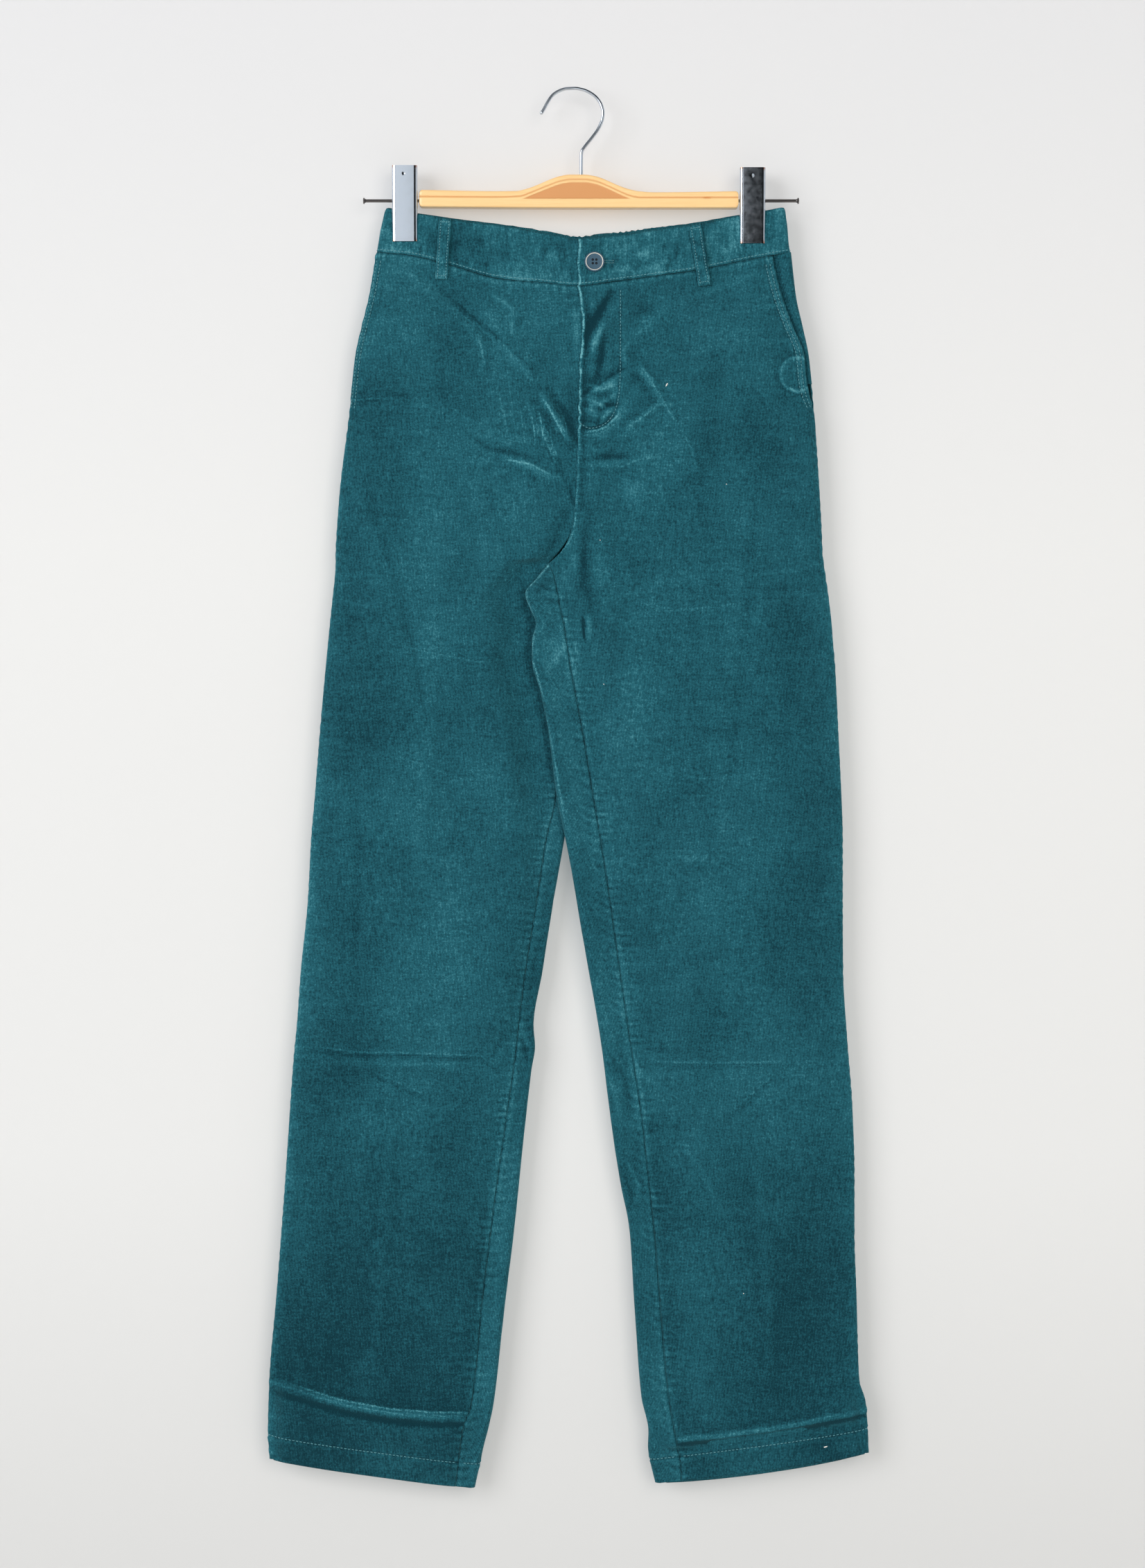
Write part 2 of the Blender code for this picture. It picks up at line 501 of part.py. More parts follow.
def build_leg(side, names, cloth):
    rows = ROWS[side]
    count = len(rows["at"])
    lines = [line_of(side, k) for k in range(count)]
    front, back = [], []
    for k, line in enumerate(lines):
        seam = line["extreme"] + outseam_shift(side, rows["out"][k])
        front.append(columns(line, 0, pocket_edge(side, k, line), FRONT_COLUMNS)[:2])
        back.append(columns(line, seam, line["s"][-1], BACK_COLUMNS)[:2])
    g = SEAM_HALF_GAP
    for name, grid in zip(names, (front, back)):
        p, t = (np.stack([row[i] for row in grid]) for i in (0, 1))
        wall_of(name, p, t, side, rows["wall"], cloth, g, g, WAIST_GAP)
    # the pocket facing runs from under the front panel to the outseam
    points, tangents, depths = [], [], []
    k = 0
    while rows["out"][k] < 262:
        line = lines[k]
        edge = pocket_edge(side, k, line)
        seam = line["extreme"] + outseam_shift(side, rows["out"][k])
        p, t, s = columns(line, edge - FACING_LAP, seam, 9)
        points.append(p), tangents.append(t)
        depths.append(FACING_DEPTH * (1 - smooth((s - edge) / max(seam - edge, 6.0))))
        k += 1
    depths = np.stack(depths)
    depths[:, :-1] = np.maximum(depths[:, :-1], 0.0)
    p, t = np.stack(points), np.stack(tangents)
    wall_of(names[2], p, t, side, FACING_WALL, cloth, 0, g, WAIST_GAP, depths)


def band_parts(w):
    """The band's ring at a share w of its height: the front from right to left, the right end from front to
    back, the back from right to left and the left end from back to front."""
    right, left = (a + (b - a) * w for a, b in (BAND_ENDS[RIGHT], BAND_ENDS[LEFT]))
    r = along(BULGE, 133, 3) + BAND_PROUD
    share = lambda x: (x - right) / (left - right)
    drop = lambda x: along(WAIST, share(x)) * (1 - w) + along(WAIST, share(x), 2) * w
    xs = np.linspace(right + r, left - r, 301)
    half_f, half_b = (hip_half(xs, 140.0, c) + BAND_PROUD for c in (1, 2))
    wave = 0.8 * np.sin(xs * 2 * math.pi * ELASTIC_WAVES / 300 + 0.9 * np.sin(xs / 23)) * (0.6 + 0.4 * w)
    wave = wave * smooth((xs - CLIP_INNER[RIGHT] - 4) / 14) * smooth((CLIP_INNER[LEFT] - 4 - xs) / 14)
    lift = BACK_LIFT * np.sin(math.pi * np.clip(share(xs), 0, 1))
    front = np.column_stack([xs, -half_f, -drop(xs)])
    back = np.column_stack([xs, half_b + wave, -drop(xs) + lift])
    ends = []
    for x, a, b in ((right + r, 270, 90), (left - r, 90, -90)):
        p = arc(x, 0, r, a, b)
        ends.append(np.column_stack([p, np.full(len(p), -drop(x))])[1:-1])
    return front, ends[0], back, ends[1]


def build_band(cloth):
    grids = {"waistband_front_right": [], "waistband_front_left": [], "waistband_back": []}
    for w in np.linspace(1, 0, 4):
        front, end_r, back, end_l = band_parts(w)
        under = front[front[:, 0] <= FLY_X + FLY_LAP][::-1]
        over = front[front[:, 0] >= FLY_X].copy()
        over[:, 1] -= BAND_STEP * fly_fade(over[:, 0] - FLY_X, FLY_LAP)
        plain, round_end = np.ones, lambda n: np.full(n, 5.0)
        right = line_from(
            np.concatenate([under, end_r, back]),
            np.concatenate([plain(len(under)), round_end(23), plain(len(back))]),
        )
        left = line_from(
            np.concatenate([over, end_l[::-1], back[::-1]]),
            np.concatenate([plain(len(over)), round_end(23), plain(len(back))]),
        )
        rear = line_from(
            np.concatenate([end_r, back, end_l, over[::-1]]),
            np.concatenate([plain(23) * 3, plain(len(back)), round_end(23), plain(len(over))]),
        )
        seam = OUTSEAM_WRAP
        middle = len(under) + 11
        grids["waistband_front_right"].append(columns(right, 0, right["s"][middle] + seam, 17)[:2])
        middle = len(over) + 11
        grids["waistband_front_left"].append(columns(left, 0, left["s"][middle], 17)[:2])
        first, last = rear["s"][11] + seam, rear["s"][23 + len(back) + 11]
        grids["waistband_back"].append(columns(rear, first, last, ELASTIC_COLUMNS)[:2])
    g = SEAM_HALF_GAP
    for name, grid in grids.items():
        side = LEFT if name.endswith("left") else RIGHT
        p, t = (np.stack([row[i] for row in grid]) for i in (0, 1))
        n = normals(p, t, side)
        p = pulled(p, t, g if name == "waistband_back" else 0, g)
        p[-1] += (p[-2] - p[-1]) / np.linalg.norm(p[-2] - p[-1], axis=1)[:, None] * g
        solid(name, p, p - n * BAND_WALL, cloth)


def face_depth(x, drop, front):
    """How far the outermost cloth stands from the middle plane at a place beside the waist seam."""
    c = 1 if front else 2
    right, left = BAND_ENDS[RIGHT][0], BAND_ENDS[LEFT][0]
    seam = along(WAIST, (x - right) / (left - right)) - (0 if front else BACK_LIFT)
    band = hip_half(x, 140.0, c) + BAND_PROUD + (0 if front else 0.9)
    panel = hip_half(x, drop, c) + (0 if front else 1.5)
    return np.where(drop < seam + 1.0, band, panel)


def build_loop(name, x0, d0, x1, d1, front, cloth):
    """A strap stitched down above and below, standing off the band between."""
    u = np.linspace(0, 1, 11)
    x, drop = x0 + (x1 - x0) * u, d0 + (d1 - d0) * u
    depth = np.maximum(*[face_depth(x, drop + d, front) for d in (-1.5, 1.5)])
    bow = LOOP["bow"] * np.sin(math.pi * u) ** 0.7
    sign = -1 if front else 1
    inner = depth + LOOP["gap"] + bow
    grids = []
    for extra in (LOOP["wall"], 0.0):
        rows = []
        for i in range(len(u)):
            lean = (x1 - x0) / (d1 - d0)
            rows.append([
                (x[i] + w, sign * (inner[i] + extra - 0.25 * abs(w) / LOOP["width"] * (extra > 0)), -drop[i] + w * lean)
                for w in (-LOOP["width"] / 2, 0.0, LOOP["width"] / 2)
            ])  # fmt: skip
        grids.append(np.array(rows))
    solid(name, grids[0], grids[1], cloth)


def lathe(name, profile, material, axis, origin, segments=32):
    """A body turned from (radius, height) points round an axis through the origin."""
    axis = np.array(axis, float)
    u = np.cross(axis, (0, 0, 1) if abs(axis[2]) < 0.9 else (1, 0, 0))
    v = np.cross(axis, u)
    a = np.linspace(0, 2 * math.pi, segments, endpoint=False)
    points, faces, rings = [], [], []
    for radius, height in profile:
        if radius == 0:
            rings.append([len(points)] * segments)
            points.append(np.array(origin) + axis * height)
        else:
            rings.append(list(range(len(points), len(points) + segments)))
            for t in a:
                points.append(np.array(origin) + axis * height + radius * (u * math.cos(t) + v * math.sin(t)))
    for r0, r1 in zip(rings, rings[1:]):
        for i in range(segments):
            j = (i + 1) % segments
            face = list(dict.fromkeys((r0[i], r0[j], r1[j], r1[i])))
            faces.append(face)
    return add(name, points, faces, material)


def cutter(name, profile, axis, origin, segments=16):
    """A turned body that cuts a bore and isn't itself part of the model."""
    o = lathe(name, profile, None, axis, origin, segments)
    home.objects.unlink(o)
    bores.objects.link(o)
    o.hide_render, o.display_type = True, "WIRE"
    return o


def cut(o, *tools):
    for tool in tools:
        m = o.modifiers.new(tool.name, "BOOLEAN")
        m.operation, m.solver, m.object = "DIFFERENCE", "EXACT", tool


def build_button(plastic):
    b = BUTTON
    y = -(hip_half(b["x"], 140.0, 1) + BAND_PROUD + BAND_STEP + 0.45)
    r, w, rim = b["radius"], b["wall"], b["rim"]
    profile = [(0, 0), (r - 1.6, 0), (r - 0.5, 0.35), (r, 1.0), (r, 1.6), (r - 0.35, w - 0.15), (r - 0.9, w)]
    profile += [(r - 1.5, w - 0.15), (r - 2.1, w - rim), (0, w - rim)]
    o = lathe("button", profile, plastic, (0, -1, 0), (b["x"], y, -b["drop"]), 32)
    for i in range(4):
        a = math.radians(45 + 90 * i)
        at = (b["x"] + b["pitch"] * math.cos(a), y, -b["drop"] + b["pitch"] * math.sin(a))
        bore = [(0, -1), (b["hole"], -1), (b["hole"], w + 1), (0, w + 1)]
        cut(o, cutter(f"button_hole_{i}", bore, (0, -1, 0), at, 8))


def build_bar(wood):
    """The bar's outline drawn from front to back, its edges rounded, bored for the hook and the rods."""
    xs = np.concatenate([np.linspace(-126.5, -55, 4)[:-1], np.linspace(-55, 62, 27), np.linspace(62, 135.7, 4)[1:]])
    top = [(x, along(BAR_TOP, x)) for x in xs]
    bottom = [(x, along(BAR_BOTTOM, x)) for x in xs[::-1]]
    outline = top + bottom
    n = len(outline)
    middle = (np.array(top) + np.array(bottom[::-1])) / 2
    points, rings = [], []
    # depth from the middle plane, and how far the outline is drawn in there
    h, e = BAR["half"], BAR["edge"]
    for y, inset in ((-h, e), (-h + 0.3 * e, 0.3 * e), (-h + e, 0.0), (h - e, 0.0), (h - 0.3 * e, 0.3 * e), (h, e)):
        rings.append(len(points))
        for i, (x, d) in enumerate(outline):
            m = middle[i if i < n // 2 else n - 1 - i][1]
            inward = inset if d < m else -inset
            end = inset if x < -126 else -inset if x > 135 else 0.0
            points.append((x + end, y, -(d + inward)))
    faces = [[a + i, a + (i + 1) % n, b + (i + 1) % n, b + i] for a, b in zip(rings, rings[1:]) for i in range(n)]
    half = n // 2
    for start in (rings[0], rings[-1]):
        faces += [[start + i, start + i + 1, start + n - 2 - i, start + n - 1 - i] for i in range(half - 1)]
    bar = add("hanger_bar", points, faces, wood)
    bore = [(0, -2), (ROD["radius"] + 0.35, -2), (ROD["radius"] + 0.35, BAR["bore"]), (0, BAR["bore"])]
    shank = [(0, -3), (HOOK["radius"] + 0.35, -3), (HOOK["radius"] + 0.35, BAR["bore"]), (0, BAR["bore"])]
    cut(
        bar,
        cutter("rod_bore_right", bore, (1, 0, 0), (-126.5, 0, -ROD["drop"])),
        cutter("rod_bore_left", bore, (-1, 0, 0), (135.7, 0, -ROD["drop"])),
        cutter("shank_bore", shank, (0, 0, -1), (HOOK_LINE[-1][0], 0, -69.7)),
    )


def build_rods(steel):
    for name, end, bar_end, sign in (
        ("hanger_rod_right", ROD["ends"][0], -126.5, 1),
        ("hanger_rod_left", ROD["ends"][1], 135.7, -1),
    ):
        length = abs(bar_end - end) + ROD["in_bar"]
        r, h, w = ROD["radius"], ROD["head"], ROD["head_wall"]
        profile = [(0, 0), (h - 0.4, 0), (h, 0.4), (h, w - 0.3), (r + 0.3, w + 0.4), (r, w + 1.2)]
        profile += [(r, length - 0.4), (r - 0.4, length), (0, length)]
        lathe(name, profile, steel, (sign, 0, 0), (end, 0, -ROD["drop"]), 20)


def build_hook(steel):
    """Round wire bent along a line, its tip rounded and its shank let into the bar."""
    line = np.array(HOOK_LINE + [(6.5, -69.7 - HOOK["in_bar"])])
    s = np.concatenate([[0], np.cumsum(np.linalg.norm(np.diff(line, axis=0), axis=1))])
    t = np.concatenate([np.arange(0, s[-3], 3.6), [s[-3], s[-1]]])
    x = along(np.column_stack([s, line[:, 0]]), t)
    z = along(np.column_stack([s, line[:, 1]]), t)
    dx, dz = np.gradient(x, t), np.gradient(z, t)
    n = np.hypot(dx, dz)
    dx, dz = dx / n, dz / n
    dx[-2:], dz[-2:] = 0, -1
    radii = np.full(len(t), HOOK["radius"])
    ends = [(x[0] - dx[0] * 0.9, z[0] - dz[0] * 0.9, dx[0], dz[0], 0.0), (x[0] - dx[0] * 0.6, z[0] - dz[0] * 0.6, dx[0], dz[0], 1.0)]
    stations = ends + list(zip(x, z, dx, dz, radii)) + [(x[-1], z[-1], 0, -1, 0.0)]
    points, rings, sides = [], [], 10
    for cx, cz, tx, tz, r in stations:
        if r == 0:
            rings.append([len(points)] * sides)
            points.append((cx, 0, cz))
            continue
        rings.append(list(range(len(points), len(points) + sides)))
        for i in range(sides):
            a = 2 * math.pi * i / sides
            points.append((cx - tz * r * math.cos(a), r * math.sin(a), cz + tx * r * math.cos(a)))
    faces = []
    for r0, r1 in zip(rings, rings[1:]):
        for i in range(sides):
            j = (i + 1) % sides
            faces.append(list(dict.fromkeys((r0[i], r0[j], r1[j], r1[i]))))
    add("hanger_hook", points, faces, steel)


def build_clip(name, x, top, sign, steel):
    """A plate with its sides turned back, sprung about the rod: sign -1 is the front plate, 1 the back one,
    whose sides stand inside the front one's."""
    c = CLIP
    half = c["width"] / 2 - (0 if sign < 0 else c["wall"] + c["clear"])
    t, r = c["wall"], c["corner"]
    points, rings = [], []
    for below, face, depth in CLIP_SIDE:
        f = sign * face
        d = -sign  # inward
        z = -(top + below)
        depth = max(depth, r + 0.05)
        bend = [(half - r + r * math.sin(a), f + d * (r - r * math.cos(a))) for a in (0, 0.785, 1.57)]
        inside = half - t
        ring = [(-px, py) for px, py in reversed(bend)] + bend + [(half, f + d * depth), (inside, f + d * depth)]
        ring += [(inside, f + d * t), (-inside, f + d * t), (-inside, f + d * depth), (-half, f + d * depth)]
        rings.append(len(points))
        points += [(x + px, py, z) for px, py in ring]
    n = len(points) // len(rings)
    faces = [[a + i, a + (i + 1) % n, b + (i + 1) % n, b + i] for a, b in zip(rings, rings[1:]) for i in range(n)]
    for a in (rings[0], rings[-1]):
        # the end of the channel: its back, then each side
        faces.append([a + i for i in (11, 0, 10)])
        faces.append([a + i for i in (0, 1, 2, 3, 4, 5, 8, 9)])
        faces.append([a + i for i in (5, 6, 7, 8)])
        faces.append([a + i for i in (0, 9, 10)])
    o = add(name, points, faces, steel)
    cut(o, cutter(name + "_bore", [(0, 0), (c["hole"], 0), (c["hole"], 40), (0, 40)], (1, 0, 0), (x - 20, 0, -ROD["drop"]), 20))


for o in list(bpy.data.objects):
    bpy.data.objects.remove(o)
home = bpy.data.collections.new("corduroy_trousers")
bores = bpy.data.collections.new("bores")
for collection in (home, bores):
    bpy.context.scene.collection.children.link(collection)

corduroy = material_of("corduroy", "1f5f66", 0.9)
plastic = material_of("button_plastic", "1c2c44", 0.35)
wood = material_of("lacquered_wood", "e8b878", 0.45)
steel = material_of("chromed_steel", "c8cacc", 0.15, 1.0)

build_leg(RIGHT, ("front_right", "back_right", "pocket_facing_right"), corduroy)
build_leg(LEFT, ("front_left", "back_left", "pocket_facing_left"), corduroy)
build_band(corduroy)
for loop in LOOPS:
    build_loop(*loop, corduroy)
build_button(plastic)
build_bar(wood)
build_rods(steel)
build_hook(steel)
for clip, (middle, upper) in CLIPS.items():
    build_clip(f"clip_{clip}_front", middle, upper, -1, steel)
    build_clip(f"clip_{clip}_back", middle, upper, 1, steel)
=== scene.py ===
# %% [markdown]
# # Needlecord trousers on a clip hanger
# The real thing is a pair of high-waisted trousers in needlecord, a corduroy whose ribs (wales) are hardly
# wider than a millimetre. They hang by the waistband from two sprung clips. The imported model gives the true
# form in plain solids. This script lays a finer skin of cloth on that form: first the rings of the garment,
# then its creases, then its seams and stitches, and last the cord, the wood and the chrome.

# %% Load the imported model
import math

import bmesh
import bpy
import numpy as np
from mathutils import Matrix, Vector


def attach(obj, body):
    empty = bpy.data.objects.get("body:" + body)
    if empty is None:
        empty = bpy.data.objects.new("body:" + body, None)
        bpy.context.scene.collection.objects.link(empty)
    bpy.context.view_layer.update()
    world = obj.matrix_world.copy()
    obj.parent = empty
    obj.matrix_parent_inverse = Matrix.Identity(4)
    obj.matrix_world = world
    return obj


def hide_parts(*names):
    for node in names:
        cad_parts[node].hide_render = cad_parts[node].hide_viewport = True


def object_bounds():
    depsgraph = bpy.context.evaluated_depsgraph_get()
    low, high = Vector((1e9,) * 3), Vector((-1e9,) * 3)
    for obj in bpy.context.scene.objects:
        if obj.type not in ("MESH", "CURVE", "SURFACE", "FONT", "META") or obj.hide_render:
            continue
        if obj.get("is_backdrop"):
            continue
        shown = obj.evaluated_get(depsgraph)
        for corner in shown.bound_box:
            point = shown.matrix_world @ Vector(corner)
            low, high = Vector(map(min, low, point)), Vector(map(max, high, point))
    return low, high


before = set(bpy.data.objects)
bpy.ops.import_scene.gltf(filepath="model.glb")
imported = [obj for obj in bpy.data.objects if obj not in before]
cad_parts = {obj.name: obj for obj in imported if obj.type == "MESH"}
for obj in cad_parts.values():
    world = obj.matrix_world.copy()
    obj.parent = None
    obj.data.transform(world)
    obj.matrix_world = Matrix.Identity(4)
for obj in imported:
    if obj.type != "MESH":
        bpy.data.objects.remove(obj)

cad_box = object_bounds()
print("nodes in the packed model:", len(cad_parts))

# %% [markdown]
# ## Units and curves
# Garment sizes are in millimetres, the way a cutter writes them, and MM turns them into metres at the very
# end. Three small curves do most of the work: an even step, a curve through a table that never overshoots
# it, and smooth random hills for everything that hangs a little unevenly.

# %% Curves
MM = 0.001
RIGHT, LEFT = -1, 1  # the wearer's sides; the right leg is at negative X


def smooth(u):
    """0 below 0, 1 above 1, and an even step between."""
    u = np.clip(u, 0.0, 1.0)
    return u * u * (3 - 2 * u)


def through(xs, ys, x):
    """A smooth curve through the rows of ys, placed at xs, that never overshoots them."""
    xs, ys = np.asarray(xs, float), np.asarray(ys, float)
    wide = (slice(None),) + (None,) * (ys.ndim - 1)
    d = np.diff(ys, axis=0) / np.diff(xs)[wide]
    both = d[:-1] * d[1:] > 0
    inner = np.where(both, 2 * d[:-1] * d[1:] / np.where(both, d[:-1] + d[1:], 1), 0)
    m = np.concatenate([d[:1], inner, d[-1:]])
    x = np.clip(x, xs[0], xs[-1])
    i = np.clip(np.searchsorted(xs, x, side="right") - 1, 0, len(xs) - 2)
    h = xs[i + 1] - xs[i]
    u = (x - xs[i]) / h
    if ys.ndim > 1:
        h, u = (np.asarray(a)[wide] for a in (h, u))
    start, end = ys[i] * (1 + 2 * u) * (1 - u) ** 2, ys[i + 1] * u * u * (3 - 2 * u)
    return start + m[i] * h * u * (1 - u) ** 2 + end + m[i + 1] * h * u * u * (u - 1)


def along(table, x, column=1):
    """The same curve through two columns of a table."""
    t = np.array(table, float)
    return through(t[:, 0], t[:, column], x)


def hills(x, y, size, seed):
    """Smooth random hills from -1 to 1, each about `size` mm across."""
    grid = np.random.default_rng(seed).uniform(-1, 1, (64, 64))
    u, v = np.asarray(x) / size, np.asarray(y) / size
    i, j = np.floor(u).astype(int), np.floor(v).astype(int)
    f, g = smooth(u - i), smooth(v - j)
    at = lambda a, b: grid[a % 64, b % 64]
    low = at(i, j) * (1 - f) + at(i + 1, j) * f
    return low * (1 - g) + (at(i, j + 1) * (1 - f) + at(i + 1, j + 1) * f) * g


def bell(distance, width):
    """A soft bump, 1 at its middle."""
    return np.exp(-((distance / width) ** 2))


def lengths(points):
    """How far along a line each of its points is."""
    return np.concatenate([[0], np.cumsum(np.linalg.norm(np.diff(points, axis=0), axis=1))])


print("a step at its middle:", smooth(0.5))

# %% [markdown]
# ## The garment's own sizes
# A flat-hung leg is a flattened tube. One row of each table is a level of the leg where the outline or a
# fold changes: how far below the hook it lies at the outer and inner edge, where those edges are, and how
# far both faces stand out. These are the sizes the solids were cut to, so the skin fits them without any
# measuring.

# %% Tables of the legs, hips and waist
COLUMNS = "steps out inn x_out x_in seam y_in r_in push".split()
RIGHT_ROWS = [
    (2, 133, 162, -161.9, 8.8, 0, -10.0, 0, 0),
    (2, 170, 190, -168.1, 12.8, 0, -10.3, 0, 0),
    (2, 217, 227, -179.0, 11.1, 0, -10.6, 0, 0),
    (3, 267, 267, -184.4, 10.0, 0, -10.6, 0, 0),
    (2, 324, 324, -191.5, 7.0, 0, -10.3, 0, 0),
    (2, 360, 360, -194.4, 0.5, 0, -9.2, 0, 0),
    (2, 381, 381, -195.5, -13.0, 0, -7.4, 0, 0),
    (1, 390, 390, -195.5, -19.3, -20.4, -0.4, 2.4, 0),
    (1, 400, 400, -196.1, -11.4, -17.1, 1.5, 3.2, 0),
    (1, 416, 416, -197.8, -4.0, -16.0, 2.5, 4.0, 0),
    (1, 441, 441, -200.4, 1.7, -14.8, 2.5, 4.0, 0),
    (2, 473, 473, -203.5, 4.0, -13.7, 2.5, 4.0, 0),
    (2, 530, 530, -208.6, 2.8, -12.5, 2.5, 4.0, 0),
    (1, 581, 581, -212.6, -2.3, -14.2, 2.5, 4.0, 0),
    (1, 614, 614, -215.5, -6.5, -21.7, 2.3, 4.0, 0),
    (1, 666, 666, -218.3, -15.4, -29.6, 1.8, 4.0, 0),
    (1, 723, 723, -224.0, -24.5, -38.8, 1.2, 4.0, 0),
    (1, 769, 769, -227.4, -31.9, -44.7, 0.8, 4.0, 0.8),
    (1, 786, 786, -229.1, -30.8, -46.5, 0.6, 4.0, -1.2),
    (2, 806, 806, -230.8, -33.9, -49.0, 0.4, 4.0, 0.3),
    (2, 894, 894, -236.8, -44.2, -61.8, 0, 4.0, 0),
    (1, 991, 994, -244.2, -56.4, -74.4, 0, 4.0, 0),
    (1, 1055, 1084, -249.7, -66.7, -83.8, 0, 4.0, 0),
    (1, 1066, 1097, -250.2, -69.5, -88.9, 0, 4.0, 4.6),
    (1, 1100, 1126, -251.1, -76.4, -93.6, 0, 4.0, 3.4),
    (1, 1104, 1129, -251.1, -76.9, -94.0, 0, 4.0, 3.3),
    (0, 1125, 1149, -249.9, -81.2, -96.3, 0, 4.0, 2.2),
]
LEFT_ROWS = [
    (2, 133, 162, 179.0, 3.4, 0, -10.0, 0, 0),
    (2, 170, 190, 183.3, 7.4, 0, -10.3, 0, 0),
    (2, 217, 227, 193.5, 5.4, 0, -10.6, 0, 0),
    (3, 267, 267, 198.4, 4.3, 0, -10.6, 0, 0),
    (2, 324, 324, 202.3, 2.6, 0, -10.4, 0, 0),
    (2, 360, 360, 204.3, -0.8, 0, -9.8, 0, 0),
    (2, 381, 381, 205.2, -10.8, 0, -9.0, 0, 0),
    (2, 390, 390, 206.3, -20.9, -17.8, -6.6, 3.0, 0),
    (2, 402, 402, 208.0, -29.6, -15.1, -7.9, 3.6, 0),
    (1, 414, 414, 209.8, -38.8, -12.5, -8.2, 4.0, 0),
    (1, 428, 428, 211.5, -34.2, -10.0, -8.2, 4.0, 0),
    (1, 438, 438, 212.6, -30.2, -7.7, -8.2, 4.0, 0),
    (1, 453, 453, 213.7, -33.6, -5.4, -8.2, 4.0, 0),
    (1, 470, 470, 215.2, -33.6, -2.8, -8.2, 4.0, 0),
    (1, 495, 495, 216.6, -26.8, 1.7, -8.2, 4.0, 0),
    (2, 531, 531, 218.3, -19.9, 8.5, -8.2, 4.0, 0),
    (1, 579, 579, 220.6, -13.7, 16.2, -7.8, 4.0, 0),
    (1, 614, 614, 221.7, -6.5, 22.2, -7.0, 4.0, 0),
    (1, 666, 666, 221.7, 3.1, 30.2, -5.0, 4.0, 0),
    (1, 723, 723, 222.0, 12.8, 38.2, -3.4, 4.0, 0),
    (1, 780, 780, 225.4, 22.2, 46.5, -2.2, 4.0, 0),
    (1, 837, 837, 229.7, 29.4, 55.3, -1.2, 4.0, 0),
    (1, 894, 894, 231.4, 37.9, 61.8, -0.5, 4.0, 0),
    (1, 940, 940, 231.4, 47.3, 66.7, 0, 4.0, 0),
    (2, 991, 997, 233.1, 50.4, 71.2, 0, 4.0, 0),
    (1, 1060, 1075, 235.4, 56.4, 78.1, 0, 4.0, 0),
    (1, 1078, 1103, 240.5, 62.1, 82.6, 0, 4.0, 3.8),
    (1, 1088, 1115, 241.7, 61.6, 84.9, 0, 4.0, 5.0),
    (1, 1093, 1120, 241.9, 62.0, 85.8, 0, 4.0, 0.8),
    (1, 1098, 1126, 242.2, 63.0, 87.5, 0, 4.0, 0.6),
    (0, 1120, 1145, 243.1, 67.5, 88.9, 0, 4.0, 2.0),
]
HIP_ROWS = 8  # the eighth row is the crotch point
BULGE = [  # drop, front, back, radius of the outer edge
    (133, 10.0, 9.2, 3.2), (180, 11.0, 10.2, 3.8), (300, 11.8, 11.2, 4.2), (450, 12.0, 11.4, 4.2),
    (700, 10.6, 10.2, 4.2), (900, 9.0, 8.8, 4.0), (1150, 8.0, 8.0, 4.0),
]  # fmt: skip
BACK_SEAM = [  # x, y of the crotch seam behind the front edge, one row for each hip row
    (4.6, 8.5), (4.6, 9.5), (4.6, 10.4), (4.6, 10.8), (4.0, 10.2), (1.5, 8.0), (-8.0, 3.0), (-19.0, -8.5),
]  # fmt: skip
WAIST = [  # share of the width from the right end, drop of the waist seam, drop of the band's top
    (0.00, 132.8, 96.0), (0.08, 135.5, 101.5), (0.17, 143.0, 106.6), (0.30, 155.6, 112.9),
    (0.41, 159.3, 119.1), (0.485, 161.9, 123.7), (0.59, 157.3, 120.2), (0.69, 152.2, 115.0),
    (0.77, 148.2, 111.0), (0.88, 140.4, 103.7), (1.00, 132.8, 95.8),
]  # fmt: skip
BAND_ENDS = {RIGHT: (-161.9, -154.6), LEFT: (179.0, 174.2)}  # x at the waist seam, at the top
SLANT = [  # drop, x of the left pocket's edge
    (133, 163.6), (160, 169.3), (184, 176.7), (204, 184.7), (217, 189.8), (233, 194.6), (246, 198.0),
]  # fmt: skip
CLIP_INNER = {RIGHT: -127.0, LEFT: 136.0}  # the clips flatten the waist as far in as this
CLOTH, BAND_WALL, HEM_WALL, FACING_WALL = 1.2, 2.2, 2.2, 1.0
HEM_DEPTH = 20.0
FLY_X, FLY_SHARE, FLY_LAP, FLY_STEP, BAND_STEP = 3.4, 0.485, 14.0, 1.7, 2.6
BAND_PROUD, OUTSEAM_WRAP, CROTCH_SHELF, SHELF_SPARE, WAIST_FADE = 0.4, 16.0, 16.0, 12.0, 45.0
BACK_LIFT, ELASTIC_WAVES, FACING_DEPTH, FACING_LAP, FACING_END = 4.0, 22, 1.9, 11.0, 262
FLAT, ROUND = 1.0, 5.5  # how closely a ring's points stand on flat cloth and round an edge
FACE_POINTS = 90  # points across a face of a ring, before the columns are taken from them


def finer(rows):
    """The table's rows with the rows between them, as one array for each column."""
    at = [0.0]
    for i, row in enumerate(rows[:-1]):
        at += [i + (k + 1) / row[0] for k in range(row[0])]
    at = np.array(at)
    fine = {c: through(range(len(rows)), [r[n] for r in rows], at) for n, c in enumerate(COLUMNS) if n}
    fine["at"] = at
    return fine


ROWS = {RIGHT: finer(RIGHT_ROWS), LEFT: finer(LEFT_ROWS)}
CROTCH = int(np.argmax(ROWS[RIGHT]["at"] >= HIP_ROWS - 1))  # the same row on both sides
print("levels in a leg:", len(ROWS[RIGHT]["at"]), "and", len(ROWS[LEFT]["at"]))

